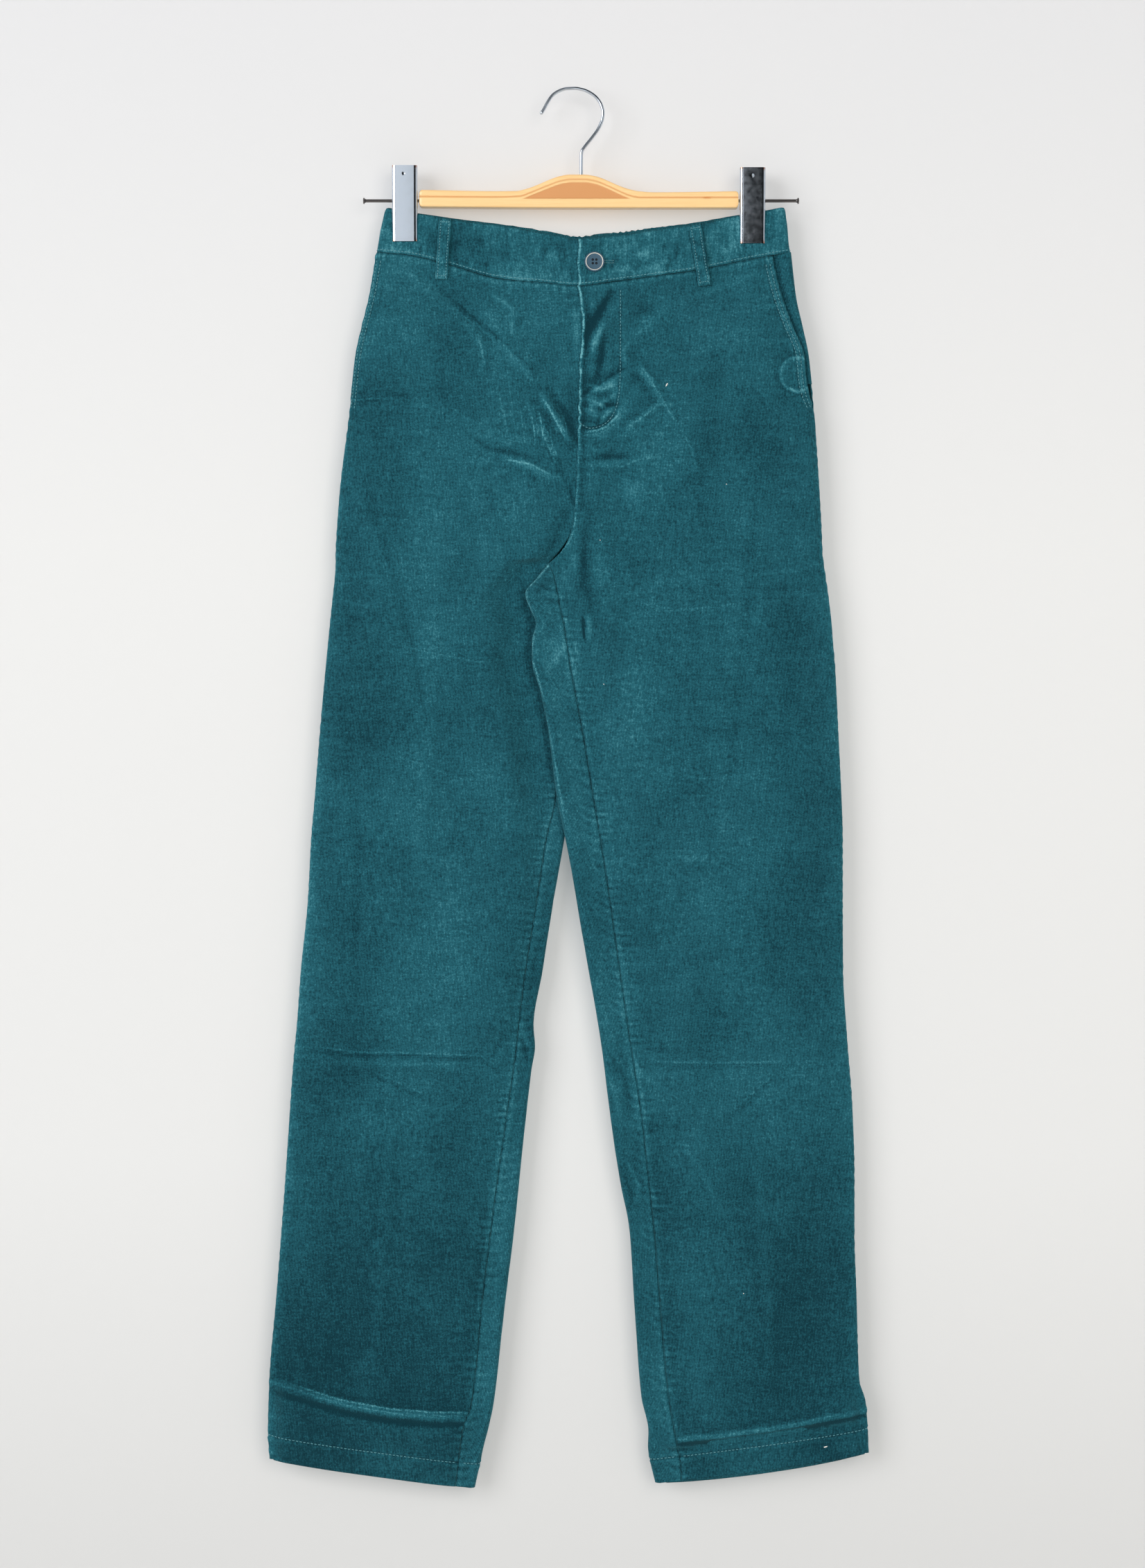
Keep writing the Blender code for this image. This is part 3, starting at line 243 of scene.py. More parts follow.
# %% [markdown]
# ## The rings
# Each level is a closed ring: a front face, a round outer edge, a back face and, below the crotch, a round
# inner edge. The faces bulge a little where air is left inside, and lie flat where the clips press them
# together. One leg crosses in front of the other just below the crotch, so each face keeps to its own depth
# there. A cloth simulation could find a shape of this kind, but never exactly this one, so it is worked out.

# %% Depth of the hips and the legs


def edge_at(side, column, drop):
    """The outer or inner edge's x at a height."""
    rows = RIGHT_ROWS if side == RIGHT else LEFT_ROWS
    first = HIP_ROWS - 1 if column == "x_in" else 0
    return along([(r[1], r[COLUMNS.index(column)]) for r in rows[first:]], drop)


def hip_half(x, drop, column):
    """How far the hips' ring stands out to the front (1) or the back (2) of the middle plane."""
    right, left = edge_at(RIGHT, "x_out", drop), edge_at(LEFT, "x_out", drop)
    r, top = along(BULGE, drop, 3), along(BULGE, drop, column)
    t = np.clip((x - right) / (left - right), 0, 1)
    plain = r + (top - r) * (1 - np.abs(2 * t - 1) ** 5)
    u = np.clip((x - CLIP_INNER[RIGHT]) / (CLIP_INNER[LEFT] - CLIP_INNER[RIGHT]), 0, 1)
    held = r + (top - r) * np.sin(math.pi * u) ** 1.3
    return held + (plain - held) * smooth((drop - 150) / WAIST_FADE)


def between_clips(x, reach, margin=0):
    """1 between the clips, easing to 0 at each of them."""
    return smooth((x - CLIP_INNER[RIGHT] - margin) / reach) * smooth((CLIP_INNER[LEFT] - margin - x) / reach)


def fly_fade(distance, lap):
    """1 over the lap of the fly, easing to 0 beyond it."""
    return 1 - smooth((distance - lap - 2) / 30)


def hip_front(side, x, drop, x_edge, y_edge):
    """Depth of the front in the hips: the crotch draws it back, and the left side lies over the right one."""
    y = -hip_half(x, drop, 1)
    near = 1 - smooth((x - x_edge) * side / 22)
    y = y + (y_edge - y) * near * smooth((drop - 300) / 60)
    return y - (FLY_STEP * fly_fade((x - x_edge) * side, 6.0) if side == LEFT else 0)


def hip_back(side, x, drop, x_seam, y_seam):
    """Depth of the back in the hips: gathered at the top, and drawn forward to the seam lower down."""
    shelf = CROTCH_SHELF * smooth((drop - 345) / 45) if side == LEFT else 0.0
    near = 1 - smooth(((x - x_seam) * side - shelf) / 30)
    y = hip_half(x, drop, 2)
    gathers = 1.5 * np.sin(x / 7.6 + 0.7 * np.sin(x / 31)) * (1 - smooth((drop - 160) / 70))
    gathers = gathers * between_clips(x, 20)
    return y + (y_seam - y) * near * smooth((drop - 250) / 90) - gathers


def leg_face(side, x, k, front):
    """Depth of a leg's front or back face at row k."""
    rows = ROWS[side]
    drop, r_in, y_in = rows["out"][k], rows["r_in"][k], rows["y_in"][k]
    r, top = along(BULGE, drop, 3), along(BULGE, drop, 1 if front else 2)
    a, b = rows["x_in"][k] + side * r_in, rows["x_out"][k] - side * r
    t = np.clip((x - a) / (b - a), 0, 1)
    tube = r + (top - r) * (1 - np.abs(2 * t - 1) ** (4 - 1.2 * smooth((drop - 600) / 300)))
    hips = hip_half(x, drop, 1 if front else 2)
    half = hips + (tube - hips) * smooth((drop - 395) / 150)
    other = edge_at(-side, "x_in", drop + (10 if side == LEFT else 0))
    crossing = front == (side == RIGHT) and drop < 640
    shelf = max(0.0, side * (other - a) + SHELF_SPARE) if crossing else 0.0
    near = 1 - smooth((side * (x - a) - shelf) / 28)
    sign = -1 if front else 1
    y = sign * half
    y = y + (y_in + sign * r_in - y) * near
    return y + sign * rows["push"][k] * smooth(t / 0.12) * smooth((1 - t) / 0.06)


print("the hips stand out in front by", round(float(hip_half(0.0, 300.0, 1)), 1), "mm")

# %% [markdown]
# One row of a table becomes one line of points in space. It starts at the seam in front, goes round the
# outer edge and ends at the seam behind. In the hips that last seam curls under towards the crotch, and
# below the crotch the line closes round the inner edge. Each point also has a weight, so that the columns
# of the mesh later stand closer together where the line is tightly bent.

# %% One level as a line


def drop_at(side, k, x, x_end):
    """How far below the hook row k is at x: it sags in the hips and slopes evenly at the hem."""
    rows = ROWS[side]
    t = np.clip((x - rows["x_out"][k]) / (x_end - rows["x_out"][k]), 0, 1)
    across = t * FLY_SHARE if side == RIGHT else 1 - t * (1 - FLY_SHARE)
    sag = (along(WAIST, across) - WAIST[0][1]) / (WAIST[5][1] - WAIST[0][1])
    return rows["out"][k] + (rows["inn"][k] - rows["out"][k]) * (sag if k <= CROTCH else t**0.9)


def arc(x, y, r, start, end, n=25):
    """Points round an edge, angles in degrees from +X towards +Y."""
    a = np.radians(np.linspace(start, end, n))
    return np.stack([x + r * np.cos(a), y + r * np.sin(a)], axis=1)


def line_from(points, weights):
    """A line's points with their lengths and weighted lengths."""
    step = np.linalg.norm(np.diff(points, axis=0), axis=1)
    length = np.concatenate([[0], np.cumsum(step)])
    load = np.concatenate([[0], np.cumsum(step * (weights[:-1] + weights[1:]) / 2)])
    return {"p": points, "s": length, "w": load}


def line_of(side, k):
    """Row k of one side, from the front seam round the outer edge to the last seam."""
    rows = ROWS[side]
    x_out, x_in, at = rows["x_out"][k], rows["x_in"][k], rows["at"][k]
    r = along(BULGE, rows["out"][k], 3)
    x_arc = x_out - side * r
    hips = k < CROTCH
    turn = lambda angle: angle if side == LEFT else 180 - angle
    if hips:
        seam = [through(range(HIP_ROWS), [p[c] for p in BACK_SEAM], at) for c in (0, 1)]
        curl, r_in = 90 + 90 * smooth((at - 5) / 2), 2.4
        spare = side * 0.25 * smooth((curl - 90) / 60)
        a = seam[0] + spare - side * r_in * math.cos(math.radians(curl))
        y_in = seam[1] - r_in * math.sin(math.radians(curl))
        start, sag_end = x_in, FLY_X if at < 5 else x_in
    else:
        r_in, y_in, curl = rows["r_in"][k], rows["y_in"][k], 225 if k == CROTCH else 270
        a = x_in + side * r_in
        start = a if k == CROTCH else side * max(side * rows["seam"][k], side * a + 0.4)
        sag_end = x_in
    drop = lambda x: drop_at(side, k, x, sag_end)
    xf, xb = np.linspace(start, x_arc, FACE_POINTS), np.linspace(x_arc, a, FACE_POINTS)
    if hips:
        yf = hip_front(side, xf, drop(xf), x_in, rows["y_in"][k])
        yb = hip_back(side, xb, drop(xb), a, y_in + r_in)
    else:
        yf, yb = leg_face(side, xf, k, True), leg_face(side, xb, k, False)
    low = 6.0 * smooth((rows["out"][k] - 1085) / 25) if side == LEFT else 0.0
    tb = np.clip((xb - a) / (x_arc - a), 0, 1)
    outer = arc(x_arc, 0, r, turn(-90), turn(90))
    parts = [
        np.column_stack([xf, yf, -drop(xf)]),
        np.column_stack([outer, np.full(len(outer), -rows["out"][k])])[1:-1],
        np.column_stack([xb, yb, -drop(xb) - low * np.sin(math.pi * tb) ** 0.5]),
    ]
    weights = [np.full(len(part), weight) for part, weight in zip(parts, (FLAT, ROUND, FLAT))]
    if hips:
        lift = BACK_LIFT * (1 - smooth((rows["out"][k] - 133) / 60))
        right, left = BAND_ENDS[RIGHT][0], BAND_ENDS[LEFT][0]
        parts[2][:, 2] += lift * np.sin(math.pi * np.clip((xb - right) / (left - right), 0, 1))
        crowd = smooth((rows["out"][k] - 290) / 90) * (1 - smooth((at - 5) / 2))
        weights[2] = 1 + 6 * crowd * np.exp(-np.abs(xb - a) / 10)
    if curl > 90.5:
        inner = arc(a, y_in, r_in, turn(90), turn(curl))
        parts.append(np.column_stack([inner, np.full(len(inner), parts[2][-1, 2])])[1:])
        weights.append(np.full(len(parts[-1]), ROUND))
    if k > CROTCH:
        xs = np.linspace(a, start, 20)[1:]
        parts.append(np.column_stack([xs, leg_face(side, xs, k, True), -drop(xs)]))
        weights.append(np.full(len(parts[-1]), 2 * FLAT))
    before = len(xf)
    if k == CROTCH:
        lead = arc(a, y_in, r_in, turn(225), turn(270), 8)[:-1]
        parts.insert(0, np.column_stack([lead, np.full(len(lead), -drop(a))]))
        weights.insert(0, np.full(len(lead), FLAT))
        before += len(lead)
    line = line_from(np.concatenate(parts), np.concatenate(weights))
    line["extreme"], line["front"] = line["s"][before + len(outer) // 2 - 1], before
    return line


def columns(line, s0, s1, n):
    """n + 1 points of a line between two lengths, closer together where the line's weight says so."""
    w0, w1 = np.interp([s0, s1], line["s"], line["w"])
    s = np.interp(np.linspace(w0, w1, n + 1), line["w"], line["s"])
    return np.stack([np.interp(s, line["s"], line["p"][:, i]) for i in range(3)], axis=1), s


LINES = {side: [line_of(side, k) for k in range(len(ROWS[side]["at"]))] for side in (RIGHT, LEFT)}
girth = LINES[RIGHT][-1]["s"][-1]
print("round the right hem:", round(girth), "mm")

# %% [markdown]
# ## From rings to a skin
# A panel is the stretch of every ring between two seams. The rings are 10 to 40 mm apart, so each column of
# points is drawn through them as a smooth curve with a point every 2 mm, close enough to carry a pucker.
# Each grid also keeps the lengths that a seamstress would measure: from either edge, from the top and from
# the hem.

# %% Panels as fine grids
ROW_STEPS = ((0, 1.3), (395, 1.3), (420, 2.6), (1040, 2.6), (1060, 1.6), (1160, 1.6))  # drop, row step there
COARSE = 4  # the inner side of the cloth has every fourth row and column


def grid_of(rings, levels, side, step=None):
    """A fine grid through rings of points, with its outward normals and lengths in mm."""
    marks = []
    for a, b in zip(levels, levels[1:]):
        pitch = step or along(ROW_STEPS, (a + b) / 2)
        marks.append(np.linspace(a, b, max(2, round((b - a) / pitch) + 1))[:-1])
    marks = np.concatenate([*marks, [levels[-1]]])
    count = math.ceil((len(marks) - 1) / COARSE) * COARSE + 1
    marks = np.interp(np.linspace(0, len(marks) - 1, count), range(len(marks)), marks)
    return measured(through(levels, rings, marks), side)


def measured(p, side):
    """A grid with what is worked out from its points."""
    n = np.cross(np.gradient(p, axis=0), np.gradient(p, axis=1)) * side
    n /= np.maximum(np.linalg.norm(n, axis=2), 1e-9)[:, :, None]
    across = np.linalg.norm(np.diff(p, axis=1), axis=2)
    down = np.linalg.norm(np.diff(p, axis=0), axis=2)
    g = {"p": p, "n": n, "side": side, "x": p[:, :, 0], "d": -p[:, :, 2]}
    g["a"] = np.pad(np.cumsum(across, axis=1), ((0, 0), (1, 0)))  # from the first edge
    g["b"] = g["a"][:, -1:] - g["a"]  # from the last edge
    g["v"] = np.pad(np.cumsum(down, axis=0), ((1, 0), (0, 0)))  # from the top
    g["h"] = g["v"][-1:] - g["v"]  # from the hem
    return g


def outseam_shift(side, drop):
    """How far behind the outer edge the right outseam lies; near the waist it has turned to the back."""
    return OUTSEAM_WRAP * (1 - smooth((drop - 120) / 200)) if side == RIGHT else 0.0


def pocket_edge(side, k):
    """The length at which the front panel ends: the pocket's slant, or the outer edge below it."""
    line, drop = LINES[side][k], ROWS[side]["out"][k]
    if side == RIGHT or drop > SLANT[-1][0]:
        return line["extreme"]
    n = line["front"]
    return min(np.interp(along(SLANT, drop), line["p"][:n, 0], line["s"][:n]), line["extreme"])


def panel(side, part, count):
    """The fine grid of a front, a back or a pocket facing."""
    rows, rings, levels, depths = ROWS[side], [], [], []
    for k, line in enumerate(LINES[side]):
        if part == "facing" and rows["out"][k] > FACING_END:
            break
        seam = line["extreme"] + outseam_shift(side, rows["out"][k])
        edge = pocket_edge(side, k)
        ends = {"front": (0, edge), "back": (seam, line["s"][-1]), "facing": (edge - FACING_LAP, seam)}
        start, end = ends[part]
        p, s = columns(line, start, end, count)
        rings.append(p)
        levels.append(rows["out"][k])
        depths.append(FACING_DEPTH * (1 - smooth((s - edge) / max(seam - edge, 6.0))))
    g = grid_of(np.array(rings), levels, side)
    if part == "facing":
        g["sink"] = through(levels, depths, g["d"][:, 0])
    return g


FRONT_COLUMNS, BACK_COLUMNS = 152, 112
GRIDS = {
    "front_right": panel(RIGHT, "front", FRONT_COLUMNS),
    "front_left": panel(LEFT, "front", FRONT_COLUMNS),
    "back_right": panel(RIGHT, "back", BACK_COLUMNS),
    "back_left": panel(LEFT, "back", BACK_COLUMNS),
    "pocket_facing_right": panel(RIGHT, "facing", 16),
    "pocket_facing_left": panel(LEFT, "facing", 16),
}
for name, g in GRIDS.items():
    print(f"{name}: {g['p'].shape[0]} by {g['p'].shape[1]} points, {g['v'][-1].mean():.0f} mm long")

# %% [markdown]
# ## Creases
# Nothing hangs perfectly flat. A crease is a soft ridge or trough along a line of a few points, higher in
# its middle and running out at both ends. The big one here is the drag fold that runs from the waistband
# down to the fly, because the clips pull the waist outwards. Heights are well under 3 mm: in soft front
# light that is all it takes. Strokes paint highlights and shade into the pile's tone along folds and
# creases, and hairlines paint fine highlights on their edges. All lines are given as x and drop below the
# hook, in mm, read off the real garment.

# %% Crease tables
HEM_FOLD = {  # the ridge where each hem was once turned up
    RIGHT: [(-248, 1061), (-220, 1069), (-189, 1078), (-151, 1085), (-117, 1088), (-91, 1089), (-68, 1093)],
    LEFT: [(62, 1111), (84, 1107), (122, 1104), (152, 1100), (183, 1095), (206, 1090), (241, 1084)],
}


def lower(points, by, end=None):
    """A line moved down by some mm, with another last point where one is given."""
    moved = [(x, drop + by) for x, drop in points]
    return moved[:-1] + [end] if end else moved


FRONT_CREASES = [  # height, half width, points (x, drop)
    (-2.2, 9.0, [(-122, 156), (-88, 184), (-69, 203)]),
    (1.5, 6.0, [(-134, 152), (-108, 172), (-84, 196)]),
    (1.6, 7.0, [(-56, 212), (-31, 238)]),
    (1.9, 4.2, [(-27, 251), (-14, 270), (-3, 289)]),
    (-1.3, 4.0, [(-20, 246), (-7, 268), (4, 290)]),
    (0.6, 3.2, [(-37, 254), (-31, 283)]),
    (0.7, 3.4, [(-29, 260), (-25, 289), (-13, 310)]),
    (1.2, 4.2, [(-56, 303), (-37, 308), (-27, 315), (-13, 319)]),
    (-1.1, 6.0, [(-82, 286), (-69, 294), (-40, 300)]),
    (0.7, 3.0, [(-79, 203), (-74, 214), (-75, 231)]),
    (0.7, 3.0, [(-66, 169), (-50, 180), (-50, 200)]),
    (-1.7, 5.5, [(32, 169), (22, 184), (8, 204)]),
    (1.2, 4.0, [(25, 195), (16, 214)]),
    (-1.2, 3.5, [(25, 209), (19, 236)]),
    (-1.5, 4.0, [(38, 230), (22, 238), (8, 253)]),
    (1.4, 4.0, [(36, 212), (48, 230), (60, 235), (72, 253), (80, 265)]),
    (-0.9, 4.0, [(42, 222), (54, 241), (66, 258)]),
    (0.8, 3.4, [(72, 257), (56, 268), (43, 278)]),
    (0.8, 5.0, [(17, 310), (40, 307), (70, 300)]),
    (-0.9, 4.0, [(17, 303), (43, 300)]),
    (-0.6, 2.2, [(-185, 256), (-150, 255)]),
    (-0.9, 4.0, [(8, 361), (8, 408)]),
    (-1.3, 1.4, [(8, 434), (8, 451)]),
    (0.7, 2.6, [(12, 434), (13, 451)]),
    (-1.0, 2.0, [(-3, 328), (3, 346)]),
    (-0.5, 1.7, [(-214, 789), (-178, 793), (-136, 794), (-102, 795), (-76, 796), (-61, 806)]),
    (0.5, 3.0, [(-212, 797), (-170, 799), (-110, 800), (-80, 801)]),
    (-0.6, 2.0, [(-67, 795), (-56, 775)]),
    (-0.5, 2.6, [(-165, 809), (-137, 821), (-115, 830)]),
    (-0.35, 1.7, [(62, 801), (110, 802), (181, 801)]),
    (-0.5, 3.0, [(126, 844), (148, 826), (166, 810)]),
    (0.8, 7.0, [(198, 1125), (216, 1117), (235, 1110)]),
    (1.1, 3.0, HEM_FOLD[RIGHT]),
    (-1.2, 2.2, lower(HEM_FOLD[RIGHT], 8, (-72, 1099))),
    (1.0, 2.8, HEM_FOLD[LEFT]),
    (-1.6, 1.8, lower(HEM_FOLD[LEFT], 5)),
    (-0.6, 5.0, [(-170, 330), (-140, 420), (-120, 520)]),
    (0.7, 8.0, [(-110, 350), (-118, 470), (-128, 640)]),
    (0.6, 8.0, [(95, 340), (112, 480), (124, 640)]),
    (1.0, 1.8, [(12, 243), (24, 247), (34, 243)]),
    (-0.9, 1.6, [(10, 249), (22, 252), (35, 248)]),
    (1.0, 1.8, [(11, 255), (22, 259), (33, 253)]),
    (-0.9, 1.5, [(12, 261), (24, 264), (32, 258)]),
    (0.9, 1.7, [(13, 268), (24, 270), (33, 262)]),
    (-0.6, 6.0, [(150, 330), (140, 450), (128, 560)]),
    (-0.5, 5.0, [(-190, 500), (-176, 620), (-180, 740)]),
    (0.6, 6.0, [(-150, 850), (-158, 960), (-165, 1050)]),
    (0.6, 6.0, [(150, 850), (158, 960), (160, 1060)]),
]
BACK_CREASES = [
    (1.0, 6.0, [(-128, 186), (-106, 214), (-74, 238), (-46, 272), (-22, 316)]),
    (-0.8, 4.4, [(-118, 214), (-92, 238), (-66, 262), (-44, 298)]),
    (0.6, 3.6, [(-160, 232), (-134, 248), (-112, 254)]),
    (0.9, 5.4, [(120, 196), (100, 220), (62, 262), (44, 300), (20, 334)]),
    (-0.9, 5.0, [(146, 206), (118, 244), (84, 268), (60, 310)]),
    (0.5, 3.6, [(168, 240), (150, 262), (136, 290)]),
    (0.9, 5.0, [(-140, 366), (-112, 380), (-76, 388), (-40, 378)]),
    (-0.7, 4.0, [(-120, 396), (-84, 404), (-54, 400)]),
    (0.5, 3.6, [(-168, 420), (-140, 428), (-112, 426)]),
    (0.8, 5.0, [(148, 384), (108, 396), (70, 392), (34, 376)]),
    (-0.8, 4.0, [(136, 404), (96, 414), (64, 408)]),
    (0.5, 7.0, [(-116, 500), (-128, 580), (-124, 650)]),
    (0.5, 8.0, [(126, 520), (124, 600), (138, 690)]),
    (-0.7, 3.0, [(-206, 768), (-168, 778), (-124, 776)]),
    (0.6, 3.4, [(-196, 794), (-150, 800), (-108, 797), (-84, 803)]),
    (-0.4, 3.0, [(-170, 816), (-140, 822), (-112, 819)]),
    (-0.7, 3.0, [(84, 782), (126, 774), (176, 780)]),
    (0.6, 3.4, [(66, 802), (112, 797), (150, 803)]),
    (0.4, 5.0, [(-160, 880), (-150, 930), (-154, 980)]),
    (0.4, 5.0, [(150, 900), (162, 960), (158, 1010)]),
]
print("creases:", len(FRONT_CREASES), "in front,", len(BACK_CREASES), "behind")

# %% [markdown]
# Strokes are given as tone, half width and points. Above 0 a stroke is a painted highlight in the pile,
# below 0 it is painted shade. The back panels have strokes too, on the strips that fold round the inseams
# and show in front.

# %% Strokes of painted light and shade
LIGHT_AND_SHADE_STROKES = {
    "front_right": [
        (-0.5, 1.5, [(-110, 164), (-95, 176), (-78, 191), (-64, 202), (-48, 217), (-33, 231), (-27, 247)]),
        (0.5, 1.3, [(-74, 198), (-64, 207)]),
        (0.4, 1.3, [(-59, 207), (-54, 215)]),
        (-0.6, 1.5, [(-28, 286), (-20, 299), (-7, 322)]),
        (0.3, 1.2, [(-52, 260), (-48, 278), (-45, 292)]),
        (-0.3, 1.6, [(-36, 262), (-34, 280), (-30, 300)]),
        (0.35, 1.2, [(-44, 226), (-36, 238), (-30, 243)]),
        (0.35, 1.2, [(-72, 184), (-62, 192)]),
        (0.3, 1.1, [(-68, 193), (-62, 197)]),
        (0.35, 1.6, [(-66, 168), (-58, 174), (-51, 181)]),
        (0.4, 1.6, [(-52, 190), (-50, 200), (-48, 206)]),
        (0.4, 1.6, [(-125, 152), (-118, 157), (-112, 164)]),
        (0.3, 2.0, [(-155, 140), (-148, 147), (-140, 149)]),
        (0.3, 5.0, [(-158, 186), (-168, 205), (-173, 226)]),
        (-0.45, 1.4, [(-24, 252), (-15, 264), (-7, 278)]),
        (-0.45, 1.7, [(-20, 298), (-11, 306), (-8, 316)]),
        (-0.5, 1.6, [(-80, 288), (-68, 296), (-50, 299), (-38, 303)]),
        (-0.4, 1.4, [(-40, 304), (-28, 308)]),
        (0.35, 2.6, [(-50, 306), (-30, 313)]),
        (-0.3, 3.0, [(-184, 251), (-150, 250), (-120, 252)]),
        (-0.5, 1.0, [(-10, 171), (4, 169)]),
        (0.4, 1.1, [(-8, 175), (5, 173)]),
        (-0.4, 1.0, [(-5, 178), (5, 176.5)]),
        (0.35, 1.2, [(-3, 186), (6, 185)]),
        (-0.35, 1.0, [(-2, 192), (6, 191)]),
        (0.7, 2.6, [(2, 184), (2.5, 200), (3, 220)]),
        (-0.35, 4.0, [(-4, 245), (-1, 275), (-2, 300)]),
        (-0.35, 6.0, [(-8, 344), (-12, 362), (-22, 380)]),
        (-0.6, 3.6, [(-41, 404), (-42, 416), (-35, 438), (-38, 462), (-33, 486), (-27, 512)]),
        (-0.45, 2.6, [(-27, 505), (-20, 548), (-11, 592), (-8, 612)]),
        (0.3, 3.0, [(-12, 600), (-16, 640), (-24, 690)]),
        (0.5, 2.4, HEM_FOLD[RIGHT]),
        (-0.6, 1.5, lower(HEM_FOLD[RIGHT], 6, (-70, 1098))),
        (0.3, 1.6, [(-90, 752), (-72, 760), (-58, 774)]),
        (-0.35, 1.5, [(-80, 770), (-62, 772), (-52, 780)]),
        (0.25, 1.4, [(-100, 262), (-86, 272), (-66, 280)]),
        (0.2, 1.3, [(-178, 340), (-150, 344), (-126, 342)]),
        (-0.2, 1.5, [(-182, 346), (-148, 350), (-120, 348)]),
        (0.2, 1.3, [(-192, 402), (-170, 398), (-140, 404)]),
        (0.22, 1.4, [(-190, 420), (-166, 426), (-150, 424)]),
        (-0.2, 1.4, [(-196, 432), (-168, 438), (-138, 434)]),
        (0.2, 1.4, [(-120, 446), (-90, 452), (-62, 450)]),
        (0.2, 1.6, [(-204, 486), (-176, 492), (-150, 488)]),
        (-0.2, 1.6, [(-150, 560), (-110, 566), (-70, 562)]),
        (0.2, 1.4, [(-110, 604), (-80, 610), (-54, 606)]),
        (-0.2, 3.0, [(-70, 330), (-56, 372), (-52, 420)]),
        (0.2, 3.0, [(-84, 320), (-74, 368), (-72, 412)]),
    ],
    "front_left": [
        (-1.38, 2.8, [(31, 166), (24, 178), (18, 190), (12, 202)]),
        (-0.88, 4.0, [(14, 186), (11, 198), (9, 212)]),
        (-1, 2.4, [(25, 200), (24, 212), (23, 222), (20, 234)]),
        (-0.62, 3.4, [(21, 234), (13, 240), (8, 244)]),
        (0.75, 2.4, [(26, 190), (20, 203), (15, 216)]),
        (-1.12, 1.0, [(42, 230), (34, 234), (28, 238), (21, 243)]),
        (0.62, 2.2, [(37, 238), (28, 243), (22, 246)]),
        (-0.62, 1.2, [(15, 246), (9, 250), (6, 252)]),
        (0.88, 1.4, [(23, 245), (14, 250), (8, 255)]),
        (0.62, 5.0, [(31, 240), (34, 254)]),
        (0.75, 4.0, [(14, 256), (18, 268)]),
        (0.62, 1.6, [(21, 259), (28, 266), (23, 275)]),
        (-0.88, 1.0, [(23, 258), (31, 260), (37, 259)]),
        (-0.75, 1.0, [(4, 273), (10, 273), (17, 274), (20, 277)]),
        (-0.88, 1.2, [(21, 268), (20, 276)]),
        (-0.62, 1.1, [(7, 259), (13, 263)]),
        (-1.12, 1.0, [(5, 278), (12, 279), (19, 278.5), (27, 275), (35, 267)]),
        (0.56, 4.0, [(8, 286), (24, 284), (42, 266), (50, 246)]),
        (0.5, 1.8, [(46, 208), (39, 219)]),
        (0.44, 5.0, [(42, 210), (58, 196), (74, 181)]),
        (-0.38, 4.0, [(50, 186), (66, 176)]),
        (0.25, 1.4, [(52, 224), (60, 234), (70, 250)]),
        (-0.4, 1.2, [(62, 237), (69, 247), (77, 259), (86, 272)]),
        (-0.5, 1.3, [(68, 256), (56, 265), (42, 277)]),
        (0.38, 4.0, [(60, 268), (45, 282), (30, 292)]),
        (-0.44, 2.4, [(18, 303), (43, 302)]),
        (0.38, 2.6, [(20, 308), (36, 309)]),
        (0.38, 7.0, [(46, 318), (48, 340)]),
        (-0.56, 5.0, [(13, 345), (11, 380), (9, 408), (15, 426)]),
        (0.38, 7.0, [(22, 382), (22, 412)]),
        (0.44, 3.4, [(-10, 388), (-7, 404), (-2, 420)]),
        (0.5, 1.8, [(13.5, 432), (14.5, 451)]),
        (-1.12, 0.9, [(8.2, 432), (9.2, 453)]),
        (0.62, 1.0, [(5.4, 436), (7.2, 452)]),
        (0.44, 2.0, [(1, 450), (4, 470)]),
        (0.31, 2.6, [(19, 448), (17, 464)]),
        (-0.3, 12.0, [(116, 218), (110, 280), (106, 340)]),
        (0.2, 1.4, [(120, 392), (156, 398), (190, 394)]),
        (-0.2, 1.4, [(130, 408), (160, 412), (196, 406)]),
        (0.2, 1.4, [(60, 446), (96, 452), (130, 450)]),
        (0.2, 1.4, [(150, 470), (180, 466), (206, 470)]),
        (-0.2, 1.6, [(70, 520), (110, 526), (150, 522)]),
        (0.2, 1.6, [(60, 628), (100, 632), (140, 628)]),
        (0.35, 3.0, [(150, 150), (130, 160), (104, 168)]),
        (-0.9, 1.7, lower(HEM_FOLD[LEFT], 5)),
        (0.25, 2.2, [(88, 862), (112, 902), (130, 936)]),
        (0.3, 1.6, [(48, 800), (60, 812), (84, 826)]),
        (-0.3, 1.6, [(50, 786), (70, 790), (96, 788)]),
        (-0.3, 1.6, [(136, 140), (120, 146), (112, 152)]),
    ],
    "back_left": [
        (-0.5, 3.0, [(-31, 413), (-18, 403)]),
        (0.5, 3.4, [(-23, 479), (-14, 465), (-6, 451)]),
        (-0.3, 4.0, [(-27, 450), (-12, 438)]),
        (0.3, 1.4, [(-30, 440), (-21, 452)]),
        (0.5, 1.2, [(-19, 391), (-14, 404), (-12, 412)]),
        (0.3, 6.0, [(-14, 492), (-8, 530), (2, 570)]),
        (0.45, 2.4, [(24, 800), (34, 822), (40, 850)]),
        (-0.4, 2.0, [(30, 790), (42, 812), (46, 840)]),
        (0.6, 1.5, [(46, 884), (54, 900), (50, 914)]),
        (-0.5, 1.5, [(44, 896), (48, 910), (44, 922)]),
    ],
    "back_right": [
        (0.45, 1.6, [(-46, 766), (-39, 777), (-35, 792)]),
        (-0.5, 1.5, [(-47, 776), (-40, 786), (-38, 800)]),
        (-0.3, 4.0, [(-30, 700), (-38, 740), (-42, 764)]),
    ],
}
